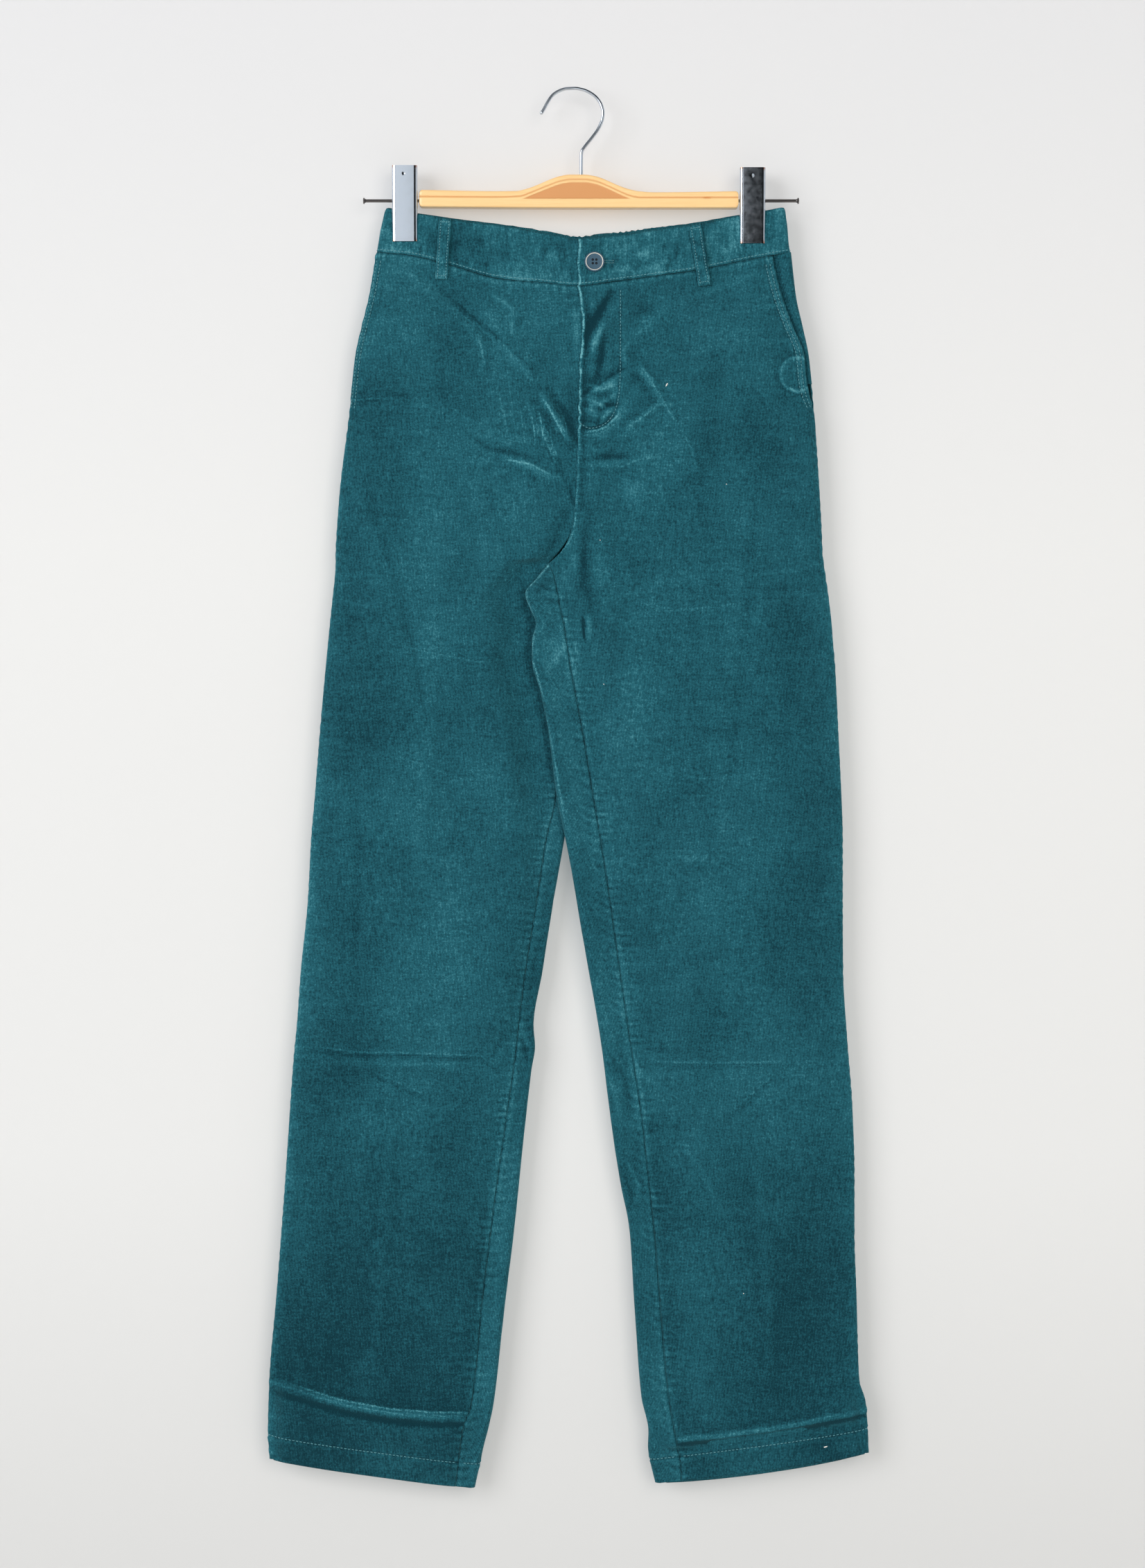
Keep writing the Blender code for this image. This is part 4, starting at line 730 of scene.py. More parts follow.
# painted highlights: thin light lines along the edges of folds, with their strength
PAINTED_HIGHLIGHTS = {  # strength, points
    "front_right": [
        (0.75, [(-27, 251), (-20, 262), (-13, 275), (-6, 288)]),
        (0.4, [(-15, 257), (-9, 267), (-5, 280)]),
        (0.5, [(-24, 276), (-18, 290), (-12, 304)]),
        (0.3, [(-64, 240), (-58, 262), (-54, 284)]),
        (0.45, [(-39, 253), (-35, 266), (-32, 280), (-31, 300)]),
        (0.6, [(-31, 259), (-27, 270), (-25, 283), (-19, 297), (-13, 311)]),
        (0.3, [(-43, 262), (-42, 275), (-39, 292)]),
        (0.6, [(-58, 304), (-42, 307), (-33, 309), (-25, 314), (-14, 319)]),
        (0.45, [(-78, 204), (-75, 214), (-73, 228)]),
        (0.3, [(-41, 217), (-33, 224)]),
        (0.3, [(-40, 208), (-34, 222)]),
        (0.25, [(-95, 182), (-84, 191), (-76, 197)]),
        (0.5, [(-186, 257), (-180, 255), (-164, 254), (-146, 254)]),
        (0.4, [(-214, 786), (-178, 790), (-136, 791), (-102, 792), (-76, 793), (-61, 803)]),
        (0.25, [(-165, 806), (-137, 818), (-115, 828)]),
        (0.9, lower(HEM_FOLD[RIGHT], -3)),
        (0.25, [(-150, 455), (-120, 462), (-80, 470), (-60, 472)]),
        (0.2, [(-180, 540), (-130, 552), (-92, 566), (-60, 570)]),
    ],
    "front_left": [
        (0.9, [(5, 281), (12, 282), (19, 281), (27, 277.5), (35, 270), (38, 264)]),
        (0.35, [(52, 224), (58, 231), (66, 244), (75, 257), (80, 268), (88, 278)]),
        (0.7, [(2.4, 345), (1.4, 356), (-1.6, 368), (-5.4, 375), (-9.6, 380), (-13, 384)]),
        (0.4, [(72, 258), (62, 266), (50, 274), (42, 281)]),
        (0.35, [(67, 302), (50, 306), (38, 311)]),
        (0.3, [(88, 278), (97, 296), (102, 318)]),
        (0.45, [(176, 243), (182, 248.5), (190, 249)]),
        (0.3, [(62, 798), (110, 799), (181, 798)]),
        (0.25, [(126, 841), (148, 823), (166, 807)]),
        (0.15, lower(HEM_FOLD[LEFT], -1)),
        (0.2, [(40, 420), (90, 428), (150, 420)]),
        (0.2, [(60, 560), (110, 566), (170, 560)]),
    ],
    "back_left": [
        (0.9, [(-12, 382), (-18.5, 389), (-27, 400), (-38, 411), (-38, 419), (-33, 430), (-29.5, 438)]),
        (0.8, [(-29.5, 438), (-32, 447), (-33.4, 458), (-34, 467), (-31, 476), (-27.5, 488), (-23, 505)]),
        (0.5, [(-23, 505), (-18, 535), (-12, 570), (-6, 608)]),
    ],
}
print("strokes:", sum(map(len, LIGHT_AND_SHADE_STROKES.values())), "and hairlines:", sum(map(len, PAINTED_HIGHLIGHTS.values())))

# %% [markdown]
# Every line works through the same measure: how far each point of the cloth is from it, and how far along
# it the nearest place is. A crease turns the distance into a height, a stroke turns it into painted light
# or shade, and a hairline keeps the distance itself, so that the finish can paint a highlight finer than
# the mesh.

# %% From lines to relief


def beside(x, d, points):
    """Signed distance from a line and the share of its length, for every place of a grid."""
    p = np.array(points, float)
    step = np.linalg.norm(np.diff(p, axis=0), axis=1)
    s = np.concatenate([[0], np.cumsum(step)])
    best, place = np.full(x.shape, 1e9), np.zeros(x.shape)
    for a, b, s0, long in zip(p, p[1:], s, step):
        ex, ed = (b - a) / long
        t = np.clip((x - a[0]) * ex + (d - a[1]) * ed, 0, long)
        off = np.hypot(x - a[0] - t * ex, d - a[1] - t * ed)
        off = off * np.where((x - a[0]) * ed - (d - a[1]) * ex < 0, -1, 1)
        closer = np.abs(off) < np.abs(best)
        best, place = np.where(closer, off, best), np.where(closer, (s0 + t) / s[-1], place)
    return best, place


def crease(x, d, height, width, points):
    """A soft ridge or trough along a line, with ends that run out."""
    off, place = beside(x, d, points)
    fade = np.sin(math.pi * (0.12 + 0.76 * place)) ** 0.8
    return height * fade * bell(off, width * (0.75 + 0.35 * np.sin(math.pi * place)))


def painted_strokes(g, strokes):
    """The painted light and shade of all strokes on the part of a panel that faces the front."""
    return sum(crease(g["x"], g["d"], *stroke) for stroke in strokes) * smooth(-2 * g["n"][:, :, 1])


def painted_highlights(x, d, lines):
    """The nearest painted highlight line: its distance and its strength, for the finish to draw it sharp."""
    off, gain = np.full(x.shape, 9.0), np.zeros(x.shape)
    for strength, points in lines:
        away, place = beside(x, d, points)
        ends = smooth(place / 0.2) * smooth((1 - place) / 0.2)
        closer = (np.abs(away) < np.abs(off)) & (np.abs(away) < 3.5)
        off, gain = np.where(closer, away, off), np.where(closer, strength * ends, gain)
    return 0.7 * off, gain


off, share = beside(np.array([3.0]), np.array([5.0]), [(0, 0), (0, 10)])
print("3 mm beside the middle of a line:", off[0], "mm off, at", share[0], "of its length")

# %% [markdown]
# ## Sewing
# A seam sinks a little where the thread pulls it in, and the cloth beside it swells. Sewing a long edge
# also shortens it slightly, so short puckers stand across the seam every 8 to 12 mm. Top stitching presses
# a narrow groove. On the real garment the fly, the pocket edges and the hems are top-stitched, and the
# curve of the fly's stitching is named after the letter J.

# %% Relief of the fronts
J_STITCH = [(38.8, 165), (38.6, 230), (37.6, 250), (33.6, 265.6), (24.5, 276.2), (14.0, 279.1), (4.8, 274.7)]
POCKET_ROWS = (3.4, 6.8)  # both rows of stitching beside a pocket's edge
PRESSED_MARK = {"x": 184.0, "drop": 234.0, "radius": 14.0}  # a round dent that was pressed into the pile


def puckers(v, distance, reach, seed, pitch=9.5):
    """Short cross puckers beside a seam, uneven in length and strength."""
    row = v / pitch + 0.35 * hills(v, 0 * v, 40, seed)
    deep = 0.5 + 0.5 * hills(v, 0 * v, 17, seed + 1)
    return np.sin(2 * math.pi * row) * deep * bell(distance - 0.35 * reach, reach)


def seam(distance):
    """The dip at a seam and the swelling beside it."""
    return 0.2 * bell(distance - 2.6, 1.8) - 0.6 * bell(distance, 0.8)


def groove(distance, deep=0.4):
    """The narrow dip that a row of top stitching presses."""
    return 0.5 * deep * bell(np.abs(distance) - 1.9, 1.2) - deep * bell(distance, 0.9)


def hang(x, d, seed):
    """The unevenness of cloth that hangs free."""
    slow = 0.9 * hills(x, d / 2.6, 52, seed) + 0.35 * hills(x, d / 3, 21, seed + 1)
    return slow + 0.1 * hills(x, d / 1.6, 8, seed + 2)


def creased(g, table, past_middle=0):
    """The relief of a table's creases whose middle lies on this panel's side."""
    ours = [c for c in table if g["side"] * np.mean([p[0] for p in c[2]]) > -past_middle]
    return sum(crease(g["x"], g["d"], *c) for c in ours)


def stitched_hem(g, seed):
    """The groove and the puckers at the hem's stitching."""
    from_row = g["h"] - HEM_DEPTH
    return groove(from_row, 0.6) + 0.25 * puckers(g["a"], np.abs(from_row), 5, seed, 7.0)


def front_relief(g):
    """The height of a front panel's skin over its grid."""
    x, d, a, b, v, side = (g[k] for k in ("x", "d", "a", "b", "v", "side"))
    r = creased(g, FRONT_CREASES, 12)
    r = r * smooth(a / 6) + hang(x, d, 20 + side) * smooth(b / 10) * smooth(a / 10)
    leg = smooth((d - 400) / 30)
    r = r + seam(b) * (1 - 0.6 * smooth((262 - d) / 14)) + 0.28 * puckers(v, b, 7, 31 + side)
    r = r + leg * (0.7 * seam(a) + 0.6 * puckers(v, a, 8, 41 + side, 6.5))
    r = r - 0.4 * bell(v, 1.4) + 0.25 * bell(v - 4, 2.6) + 0.3 * puckers(x, v, 6, 51 + side, 7.5)
    r = r + stitched_hem(g, 61 + side)
    r = r + sum(groove(b - row, 0.45) for row in POCKET_ROWS) * smooth((258 - d) / 8)
    if side == LEFT:
        hips = 1 - smooth((d - 330) / 25)
        r = r + hips * (0.55 * bell(a - 1.6, 1.8) - 0.5 * bell(a - 5.5, 2.6))
        j = -crease(x, d, 1.0, 1.0, J_STITCH)
        r = r + 0.6 * j - 0.25 * crease(x, d, -1.0, 2.6, [(px + 3, pd + 2) for px, pd in J_STITCH])
        r = r + 0.7 * hills(x, d, 6, 71) * bell(x - 20, 16) * bell(d - 258, 22)
        ring = np.hypot(x - PRESSED_MARK["x"], d - PRESSED_MARK["drop"]) - PRESSED_MARK["radius"]
        r = r + 0.4 * bell(ring, 2.2)
    else:
        hips = 1 - smooth((d - 300) / 40)
        r = r + hips * (0.45 * puckers(v, a, 5, 81, 4.6) * smooth((d - 150) / 20) - 0.8 * bell(a, 2.2))
    return r


print("stitching of the fly:", len(J_STITCH), "points; rows beside a pocket:", len(POCKET_ROWS))

# %% [markdown]
# Light and dark on a pile don't only come from its relief. Painted shade darkens it towards the hems and just
# inside the outer edges, and painted highlights lighten every turned edge. The front panels keep this as a
# tone of their own, which the finish adds to what the relief gives.

# %% Painted light and shade of the front panels


def pile_marks_and_painted_light(g):
    """The painted light and shade of a front panel's pile, with its light thread dots and pressed dent, away
    from creases and strokes.
    """
    x, d, b, side = g["x"], g["d"], g["b"], g["side"]
    # painted shade: darker towards the hems, where less light falls
    low = smooth((d - 780) / 260) * (0.5 if side == RIGHT else 0.38)
    # painted shade a little inside the outer edge; painted highlights along the outer edge and on the hem's
    # turned edge, with painted shade just above it
    inside = 0.16 * bell(b - 42, 24) * smooth((d - 200) / 100)
    edge = 0.14 * bell(b - 3, 7) * smooth((d - 250) / 80)
    edge = edge + 0.25 * bell(b - 5, 3.4) * smooth((d - 480) / 100) * (side == RIGHT)
    edge = edge + 0.3 * bell(g["h"] - HEM_DEPTH, 1.1) - 0.25 * bell(g["h"] - HEM_DEPTH - 2.4, 1.0)
    tone = edge - low - inside + 0.10 * bell(x - side * 60, 40) * bell(d - 300, 120)
    # light dots of thread along the inseam, and a painted highlight right at the outer edge
    dotted = 0.5 + 0.9 * hills(g["v"], 0 * b, 2.6, 421 + side)
    tone = tone + smooth((d - 400) / 30) * 0.4 * bell(g["a"] - 1.8, 1.2) * dotted + 0.3 * bell(b - 1.5, 2.4)
    # the seam under the waistband: painted shade in the dip, a painted highlight on the ridge of the turned
    # edge
    tone = tone - 0.3 * bell(g["v"] - 0.2, 0.8) + 0.35 * bell(g["v"] - 2.2, 1.1)
    if side == RIGHT:
        return tone
    mx, md = x - PRESSED_MARK["x"], d - PRESSED_MARK["drop"]
    far = np.hypot(mx, md) - PRESSED_MARK["radius"]
    upper_left = smooth(-0.5 * (mx + 0.6 * md) / PRESSED_MARK["radius"])
    # lighter pile inside the pressed dent and a light rim, with painted shade outside its left half and a
    # painted highlight inside its upper left
    tone = tone + 0.12 * (far < 0) + 0.7 * bell(far, 1.0) - 0.3 * bell(far - 2.2, 1.1) * (mx < 8)
    tone = tone + 0.7 * bell(far + 4, 3.4) * upper_left
    # beside the pocket's edge: a painted highlight on the strip between the rows of stitching, painted shade
    # just beyond them
    pocket = smooth((258 - d) / 8)
    return tone + pocket * (0.3 * bell(b - 5, 2.6) * (1 + hills(x * 2, d, 3, 411)) - 0.3 * bell(b - 8, 1))


print("the dent's radius:", PRESSED_MARK["radius"], "mm")

# %% [markdown]
# The back panels have the same seams and puckers, and under the elastic of the waistband they are gathered:
# short folds that start at the seam and run out within a few centimetres.

# %% Relief of the backs


def back_relief(g):
    """The height of a back panel's skin over its grid."""
    x, d, a, b, v, side = (g[k] for k in ("x", "d", "a", "b", "v", "side"))
    r = creased(g, BACK_CREASES)
    r = r * smooth(b / 8) + hang(x, d, 120 + side) * smooth(b / 10) * smooth(a / 10)
    r = r + seam(a) + 0.28 * puckers(v, a, 7, 131 + side) + seam(b) + 0.4 * puckers(v, b, 9, 141 + side, 8.5)
    gather = np.sin(2 * math.pi * (x / 13.6 + 0.4 * hills(x, 0 * x, 30, 151)))
    free = between_clips(x, 20)
    r = r + 0.9 * gather * np.exp(-v / (22 + 12 * hills(x, 0 * x, 19, 152))) * free - 0.8 * bell(v, 1.6)
    return r + stitched_hem(g, 161 + side)


print(f"relief of the right back: up to {np.abs(back_relief(GRIDS['back_right'])).max():.1f} mm")

# %% [markdown]
# ## From a grid to a piece of cloth
# Each panel becomes one closed sheet: its outer side is the fine grid pushed out by the relief, and its
# inner side, which hardly shows, has a point for every fourth one. The map that the cord is drawn on is in
# metres. It is laid along the grain line, so the wales run off the cloth at the slanting inseams, as cut
# cloth does.

# %% Sheets of cloth
home = bpy.data.collections.new("trousers_on_hanger")
bpy.context.scene.collection.children.link(home)
GRAIN = {RIGHT: ((145, -90), (1140, -165)), LEFT: ((145, 80), (1140, 166))}  # drop, x of the grain line


def add_mesh(name, points, faces, material, uv=None):
    """A smooth mesh of points in mm, with a map in metres."""
    mesh = bpy.data.meshes.new(name)
    mesh.from_pydata(np.asarray(points, float) * MM, [], faces)
    mesh.polygons.foreach_set("use_smooth", [True] * len(mesh.polygons))
    if uv is not None:
        loops = np.zeros(len(mesh.loops), int)
        mesh.loops.foreach_get("vertex_index", loops)
        mesh.uv_layers.new(name="cut_cloth").data.foreach_set("uv", (np.asarray(uv)[loops] * MM).ravel())
    if material:
        mesh.materials.append(material)
    o = bpy.data.objects.new(name, mesh)
    home.objects.link(o)
    return o


def edge_loop(rows, cols):
    """A grid's outer edge as (row, column), once round."""
    return (
        [(0, c) for c in range(cols)] + [(r, cols - 1) for r in range(1, rows)]
        + [(rows - 1, c) for c in range(cols - 2, -1, -1)] + [(r, 0) for r in range(rows - 2, 0, -1)]
    )  # fmt: skip


def painted_relief_shade(relief):
    """Painted light and shade that follow the relief: a painted highlight on narrow ridges, painted shade in
    narrow troughs.
    """
    soft = relief
    for _ in range(24):
        p = np.pad(soft, 1, mode="edge")
        soft = (p[:-2, 1:-1] + p[2:, 1:-1] + p[1:-1, :-2] + p[1:-1, 2:] + 4 * soft) / 8
    return relief - soft


def add_attribute(o, name, values):
    """A number for every point of a mesh, 0 where none is given."""
    values = np.asarray(values, float).ravel()
    values = np.pad(values, (0, len(o.data.vertices) - len(values)))
    o.data.attributes.new(name, "FLOAT", "POINT").data.foreach_set("value", values)


def no_highlight(g):
    """The distance and strength of painted highlight lines on a grid that has none."""
    return np.full(g["x"].shape, 9.0), 0 * g["x"]


def shell(name, g, relief, wall, material, sink=0.0, nap_and_painted_light=0.0, highlight=None):
    """A grid as a closed sheet, `wall` mm thick and `sink` mm below the grid. `nap_and_painted_light` adds
    nap and painted light and shade to its pile, and `highlight` is the distance to the nearest painted
    highlight with its strength."""
    rows, cols = g["x"].shape
    out = g["p"] + g["n"] * (relief - sink)[:, :, None]
    g["out"] = out
    keep = np.ix_(range(0, rows, COARSE), range(0, cols, COARSE))
    wall = np.broadcast_to(wall, (rows, cols))
    inner = (out - g["n"] * wall[:, :, None])[keep]
    m, k = inner.shape[:2]
    fine = lambda r, c: r * cols + c
    coarse = lambda r, c: rows * cols + r * k + c
    turn = 1 if g["side"] > 0 else -1
    faces = [
        [fine(r, c), fine(r + 1, c), fine(r + 1, c + 1), fine(r, c + 1)][::turn]
        for r in range(rows - 1)
        for c in range(cols - 1)
    ]
    faces += [
        [coarse(r, c), coarse(r, c + 1), coarse(r + 1, c + 1), coarse(r + 1, c)][::turn]
        for r in range(m - 1)
        for c in range(k - 1)
    ]
    outer, rim = edge_loop(rows, cols), edge_loop(m, k)
    for i, (r, c) in enumerate(rim):
        r2, c2 = rim[(i + 1) % len(rim)]
        strip = (outer + outer[:1])[i * COARSE : (i + 1) * COARSE + 1]
        faces.append(([fine(*q) for q in strip] + [coarse(r2, c2), coarse(r, c)])[::turn])
    uv = np.stack([g["u"], -g["v"]], axis=2)
    points = np.concatenate([out.reshape(-1, 3), inner.reshape(-1, 3)])
    o = add_mesh(name, points, faces, material, np.concatenate([uv.reshape(-1, 2), uv[keep].reshape(-1, 2)]))
    # the pile attribute carries painted light and shade from the relief, with the nap and painted light given
    add_attribute(o, "pile", painted_relief_shade(relief) + nap_and_painted_light)
    for attribute, values in zip(("highlight_off", "highlight_gain"), highlight or no_highlight(g)):
        add_attribute(o, attribute, values)
    return o


def lay_grain(g, line):
    """Measures every row from the grain line."""
    margin = g["x"].shape[1] // 8
    middle = slice(margin, -margin)
    start = []
    for x, a, d in zip(g["x"][:, middle], g["a"][:, middle], g["d"][:, middle]):
        order = np.argsort(x)
        at = np.interp(d.mean(), [p[0] for p in line], [p[1] for p in line])
        start.append(np.interp(at, x[order], a[order]))
    g["u"] = g["a"] - np.array(start)[:, None]


print("grain lines:", len(GRAIN))

# %% [markdown]
# ## Colours and finishes
# Colours are sRGB hex codes turned linear by one function. One helper adds a shader node with its settings
# and links, and the few others are short ways to use it.

# %% Helpers for finishes


def paint(code):
    """A linear colour from an sRGB hex code."""
    srgb = np.array([int(code[i : i + 2], 16) for i in (0, 2, 4)]) / 255
    return (*np.where(srgb <= 0.04045, srgb / 12.92, ((srgb + 0.055) / 1.055) ** 2.4), 1.0)


def give(tree, shader, **inputs):
    """Fills inputs with values or with other nodes' outputs; i0, i1 name inputs by number."""
    for key, value in inputs.items():
        number = key[0] == "i" and key[1:].isdigit()
        socket = shader.inputs[int(key[1:])] if number else shader.inputs[key.replace("_", " ")]
        if isinstance(value, bpy.types.NodeSocket):
            tree.links.new(value, socket)
        else:
            socket.default_value = value


def node(tree, kind, settings=None, **inputs):
    """Adds a shader node with its settings and inputs."""
    n = tree.nodes.new("ShaderNode" + kind)
    for key, value in (settings or {}).items():
        setattr(n, key, value)
    give(tree, n, **inputs)
    return n


def maths(tree, what, *values):
    """A sum, a product or the like of some values."""
    return node(tree, "Math", {"operation": what}, **{f"i{i}": v for i, v in enumerate(values)}).outputs[0]


def blend(tree, share, low, high):
    """A colour between two colours."""
    mixed = node(tree, "Mix", {"data_type": "RGBA"}, i0=share, i6=low, i7=high)
    return mixed.outputs[2]


def set_stops(ramp, stops):
    """Put a colour ramp's stops where the table says: place, colour."""
    points = ramp.color_ramp.elements
    while len(points) < len(stops):
        points.new(0.5)
    for point, (at, colour) in zip(points, stops):
        point.position, point.color = at, paint(colour)


def material(name):
    """A new material with its tree of nodes and its shader."""
    m = bpy.data.materials.new(name)
    m.use_nodes = True
    return m, m.node_tree, m.node_tree.nodes["Principled BSDF"]


print("mid grey turned linear:", round(float(paint("808080")[0]), 3))

# %% [markdown]
# Needlecord is cotton woven with extra floats that are cut open and brushed up: its ribs drink light in the
# grooves and catch it at a grazing angle, which is what sheen gives. Roughness is near 1 because every
# fibre scatters. The ribs are 1.3 mm apart, and they are drawn by a sine across the cut cloth, both as a
# bump and as painted light on each crest and painted shade in each groove. Uneven nap is added to the tone
# as noises, each with a real size of its own, and the panels' painted light and shade is added as well.

# %% Needlecord
WALE = 1.3 * MM


def needlecord(name, shade_colour, nap_colour, highlight_colour):
    """Cut pile from painted shade in the grooves and folds through the nap to painted highlights on the
    ridges.
    """
    m, tree, shader = material(name)
    uv = node(tree, "UVMap", {"uv_map": "cut_cloth"}).outputs[0]
    flat = node(tree, "SeparateXYZ", Vector=uv).outputs
    place = node(tree, "TexCoord").outputs["Object"]
    noise = lambda scale, detail, vector, rough=0.5: node(
        tree, "TexNoise", Vector=vector, Scale=scale, Detail=detail, Roughness=rough
    ).outputs[0]
    # grains of a noise have a size in mm along each axis
    sized = lambda vector, *sizes: node(
        tree, "Mapping", Vector=vector, Scale=[1 / (size * MM) for size in sizes]
    ).outputs[0]
    # the ribs wander a little, and the pile parts into short streaks along them
    wander = maths(tree, "MULTIPLY", noise(60, 1, uv), 2.0)
    across = maths(tree, "MULTIPLY_ADD", flat[0], 2 * math.pi / WALE, wander)
    rib = maths(tree, "MULTIPLY_ADD", maths(tree, "SINE", across), 0.5, 0.5)
    streak = noise(1.0, 2, sized(uv, 2.2, 14, 1000))
    # the nap lies differently in patches a hand wide, in faint level streaks, in spots of one or two ribs and
    # in dashes that cross a few ribs
    patch = noise(13.0, 3, node(tree, "Mapping", Vector=place, Scale=(1.0, 0.6, 0.7)).outputs[0], 0.6)
    level = noise(1.0, 3, sized(place, 30, 60, 4), 0.6)
    spots = noise(620.0, 2, place, 0.75)
    dashes = noise(1.0, 2, sized(place, 5, 5, 1.4), 0.6)
    read = lambda name: node(tree, "Attribute", {"attribute_name": name}).outputs["Fac"]
    band = lambda value, far, near: node(
        tree, "MapRange", {"interpolation_type": "SMOOTHSTEP"},
        Value=maths(tree, "ABSOLUTE", value), i1=far, i2=near,
    ).outputs[0]  # fmt: skip
    pile = read("pile")
    # each adds to the tone about its own middle, which is 0.5
    # painted light on each rib's crest and painted shade in its groove, besides the bump
    tone = maths(tree, "MULTIPLY_ADD", rib, 0.4, 0.3)
    for part, share in ((streak, 0.5), (patch, 0.85), (level, 0.4), (spots, 1.6), (dashes, 0.5)):
        tone = maths(tree, "MULTIPLY_ADD", maths(tree, "SUBTRACT", part, 0.5), share, tone)
    # the panels' painted light and shade, with their nap, from the pile attribute
    tone = maths(tree, "MULTIPLY_ADD", pile, 0.55, tone)
    broken = maths(tree, "MULTIPLY_ADD", spots, 2.0, -0.3)
    # the hairlines are painted highlights, broken up by the spots
    sharp = maths(tree, "MULTIPLY", band(read("highlight_off"), 0.95, 0.1), read("highlight_gain"))
    tone = maths(tree, "MULTIPLY_ADD", sharp, broken, tone)
    # the darkest tone is the painted shade colour, and the brightest blend into the painted highlight colour
    colour = blend(tree, node(tree, "Clamp", Value=tone).outputs[0], paint(shade_colour), paint(nap_colour))
    highlight_share = node(tree, "MapRange", Value=tone, i1=0.85, i2=1.7, i3=0.0, i4=0.75).outputs[0]
    colour = blend(tree, highlight_share, colour, paint(highlight_colour))
    height = maths(tree, "MULTIPLY_ADD", spots, 0.5, rib)
    height = maths(tree, "MULTIPLY_ADD", streak, 0.5, height)
    bump = node(tree, "Bump", Strength=0.5, Distance=0.00035, Height=height).outputs[0]
    give(tree, shader, Base_Color=colour, Roughness=0.95, Normal=bump, Sheen_Weight=0.3, Sheen_Roughness=0.5)
    give(tree, shader, Sheen_Tint=paint("7fd0d8"), IOR=1.45, Specular_IOR_Level=0.15)
    return m


CORD = needlecord("needlecord_cut_pile", "08303a", "276a78", "74b6be")
print("cloth finish:", CORD.name)

# %% [markdown]
# ## Laying the panels
# The fronts and backs are joined at the outseam and the inseam, and the left front's folded edge covers the
# right front along the fly. Under the slanted pocket edges a facing of the same cloth shows.

# %% Panels
HEM_THICK = HEM_WALL - CLOTH
FLY_END = 346  # drop at which the fly's folded edge ends and the crotch seam begins


def dress(piece, node_name):
    """Hangs a piece under the root and hides the solid node that it stands for, if one is named."""
    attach(piece, "root")
    if node_name:
        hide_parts(node_name)


def fly_edge(g, nap_and_painted_light, highlight):
    """The fly's folded edge: a little uneven, with a painted highlight along the fold and painted shade in
    the valley behind it.
    """
    far, strength = highlight
    a, v = g["a"], g["v"]
    uneven = hills(v, 0 * v, 5, 91)
    upper = (1 - smooth((g["d"] - FLY_END) / 15)) * (1 - 0.75 * smooth((g["d"] - 280) / 10))
    off = 0.6 * (a - 0.9 - 0.4 * uneven)
    near = (np.abs(off) < 3.5) & (np.abs(off) < np.abs(far))
    gain = (1.15 + 0.6 * hills(v, 0 * v, 3.4, 92)) * upper
    g["p"][:, :, 0] += 0.55 * uneven * bell(a, 4) * upper
    # painted shade in the valley behind the fold
    nap_and_painted_light = nap_and_painted_light - upper * 0.5 * bell(a - 3.2, 1.3)
    return nap_and_painted_light, (np.where(near, off, far), np.where(near, gain, strength))


for name, g in GRIDS.items():
    lay_grain(g, GRAIN[g["side"]])
    wall = CLOTH + HEM_THICK * smooth((HEM_DEPTH + 2 - g["h"]) / 3)
    nap_and_painted_light, highlight = 0.0, None
    if name.startswith("front"):
        relief = front_relief(g)
        nap_and_painted_light = pile_marks_and_painted_light(g)
    elif name.startswith("back"):
        relief = back_relief(g)
    else:
        relief, wall = 0.5 * hang(g["x"], g["d"], 7), FACING_WALL
        # painted shadow on the facing just under the pocket's edge
        nap_and_painted_light = 0.1 - 0.9 * bell(g["a"] - FACING_LAP - 0.5, 2.2)
    if name in LIGHT_AND_SHADE_STROKES:
        nap_and_painted_light = nap_and_painted_light + painted_strokes(g, LIGHT_AND_SHADE_STROKES[name])
        highlight = painted_highlights(g["x"], g["d"], PAINTED_HIGHLIGHTS.get(name, []))
    if name == "front_left":
        nap_and_painted_light, highlight = fly_edge(g, nap_and_painted_light, highlight)
    piece = shell(name + "_cloth", g, relief, wall, CORD, g.get("sink", 0.0), nap_and_painted_light, highlight)
    dress(piece, name)
    print(f"  its relief: {np.min(relief):.1f} to {np.max(relief):.1f} mm")

# %% [markdown]
# ## Waistband
# The band is a doubled strip. In front it is smooth and lies flat under the clips. Behind, a wide elastic
# in its casing gathers it into waves. A wave modifier would make them all alike, so they are a sine whose
# pitch drifts, and they die out before the clips.

# %% Band


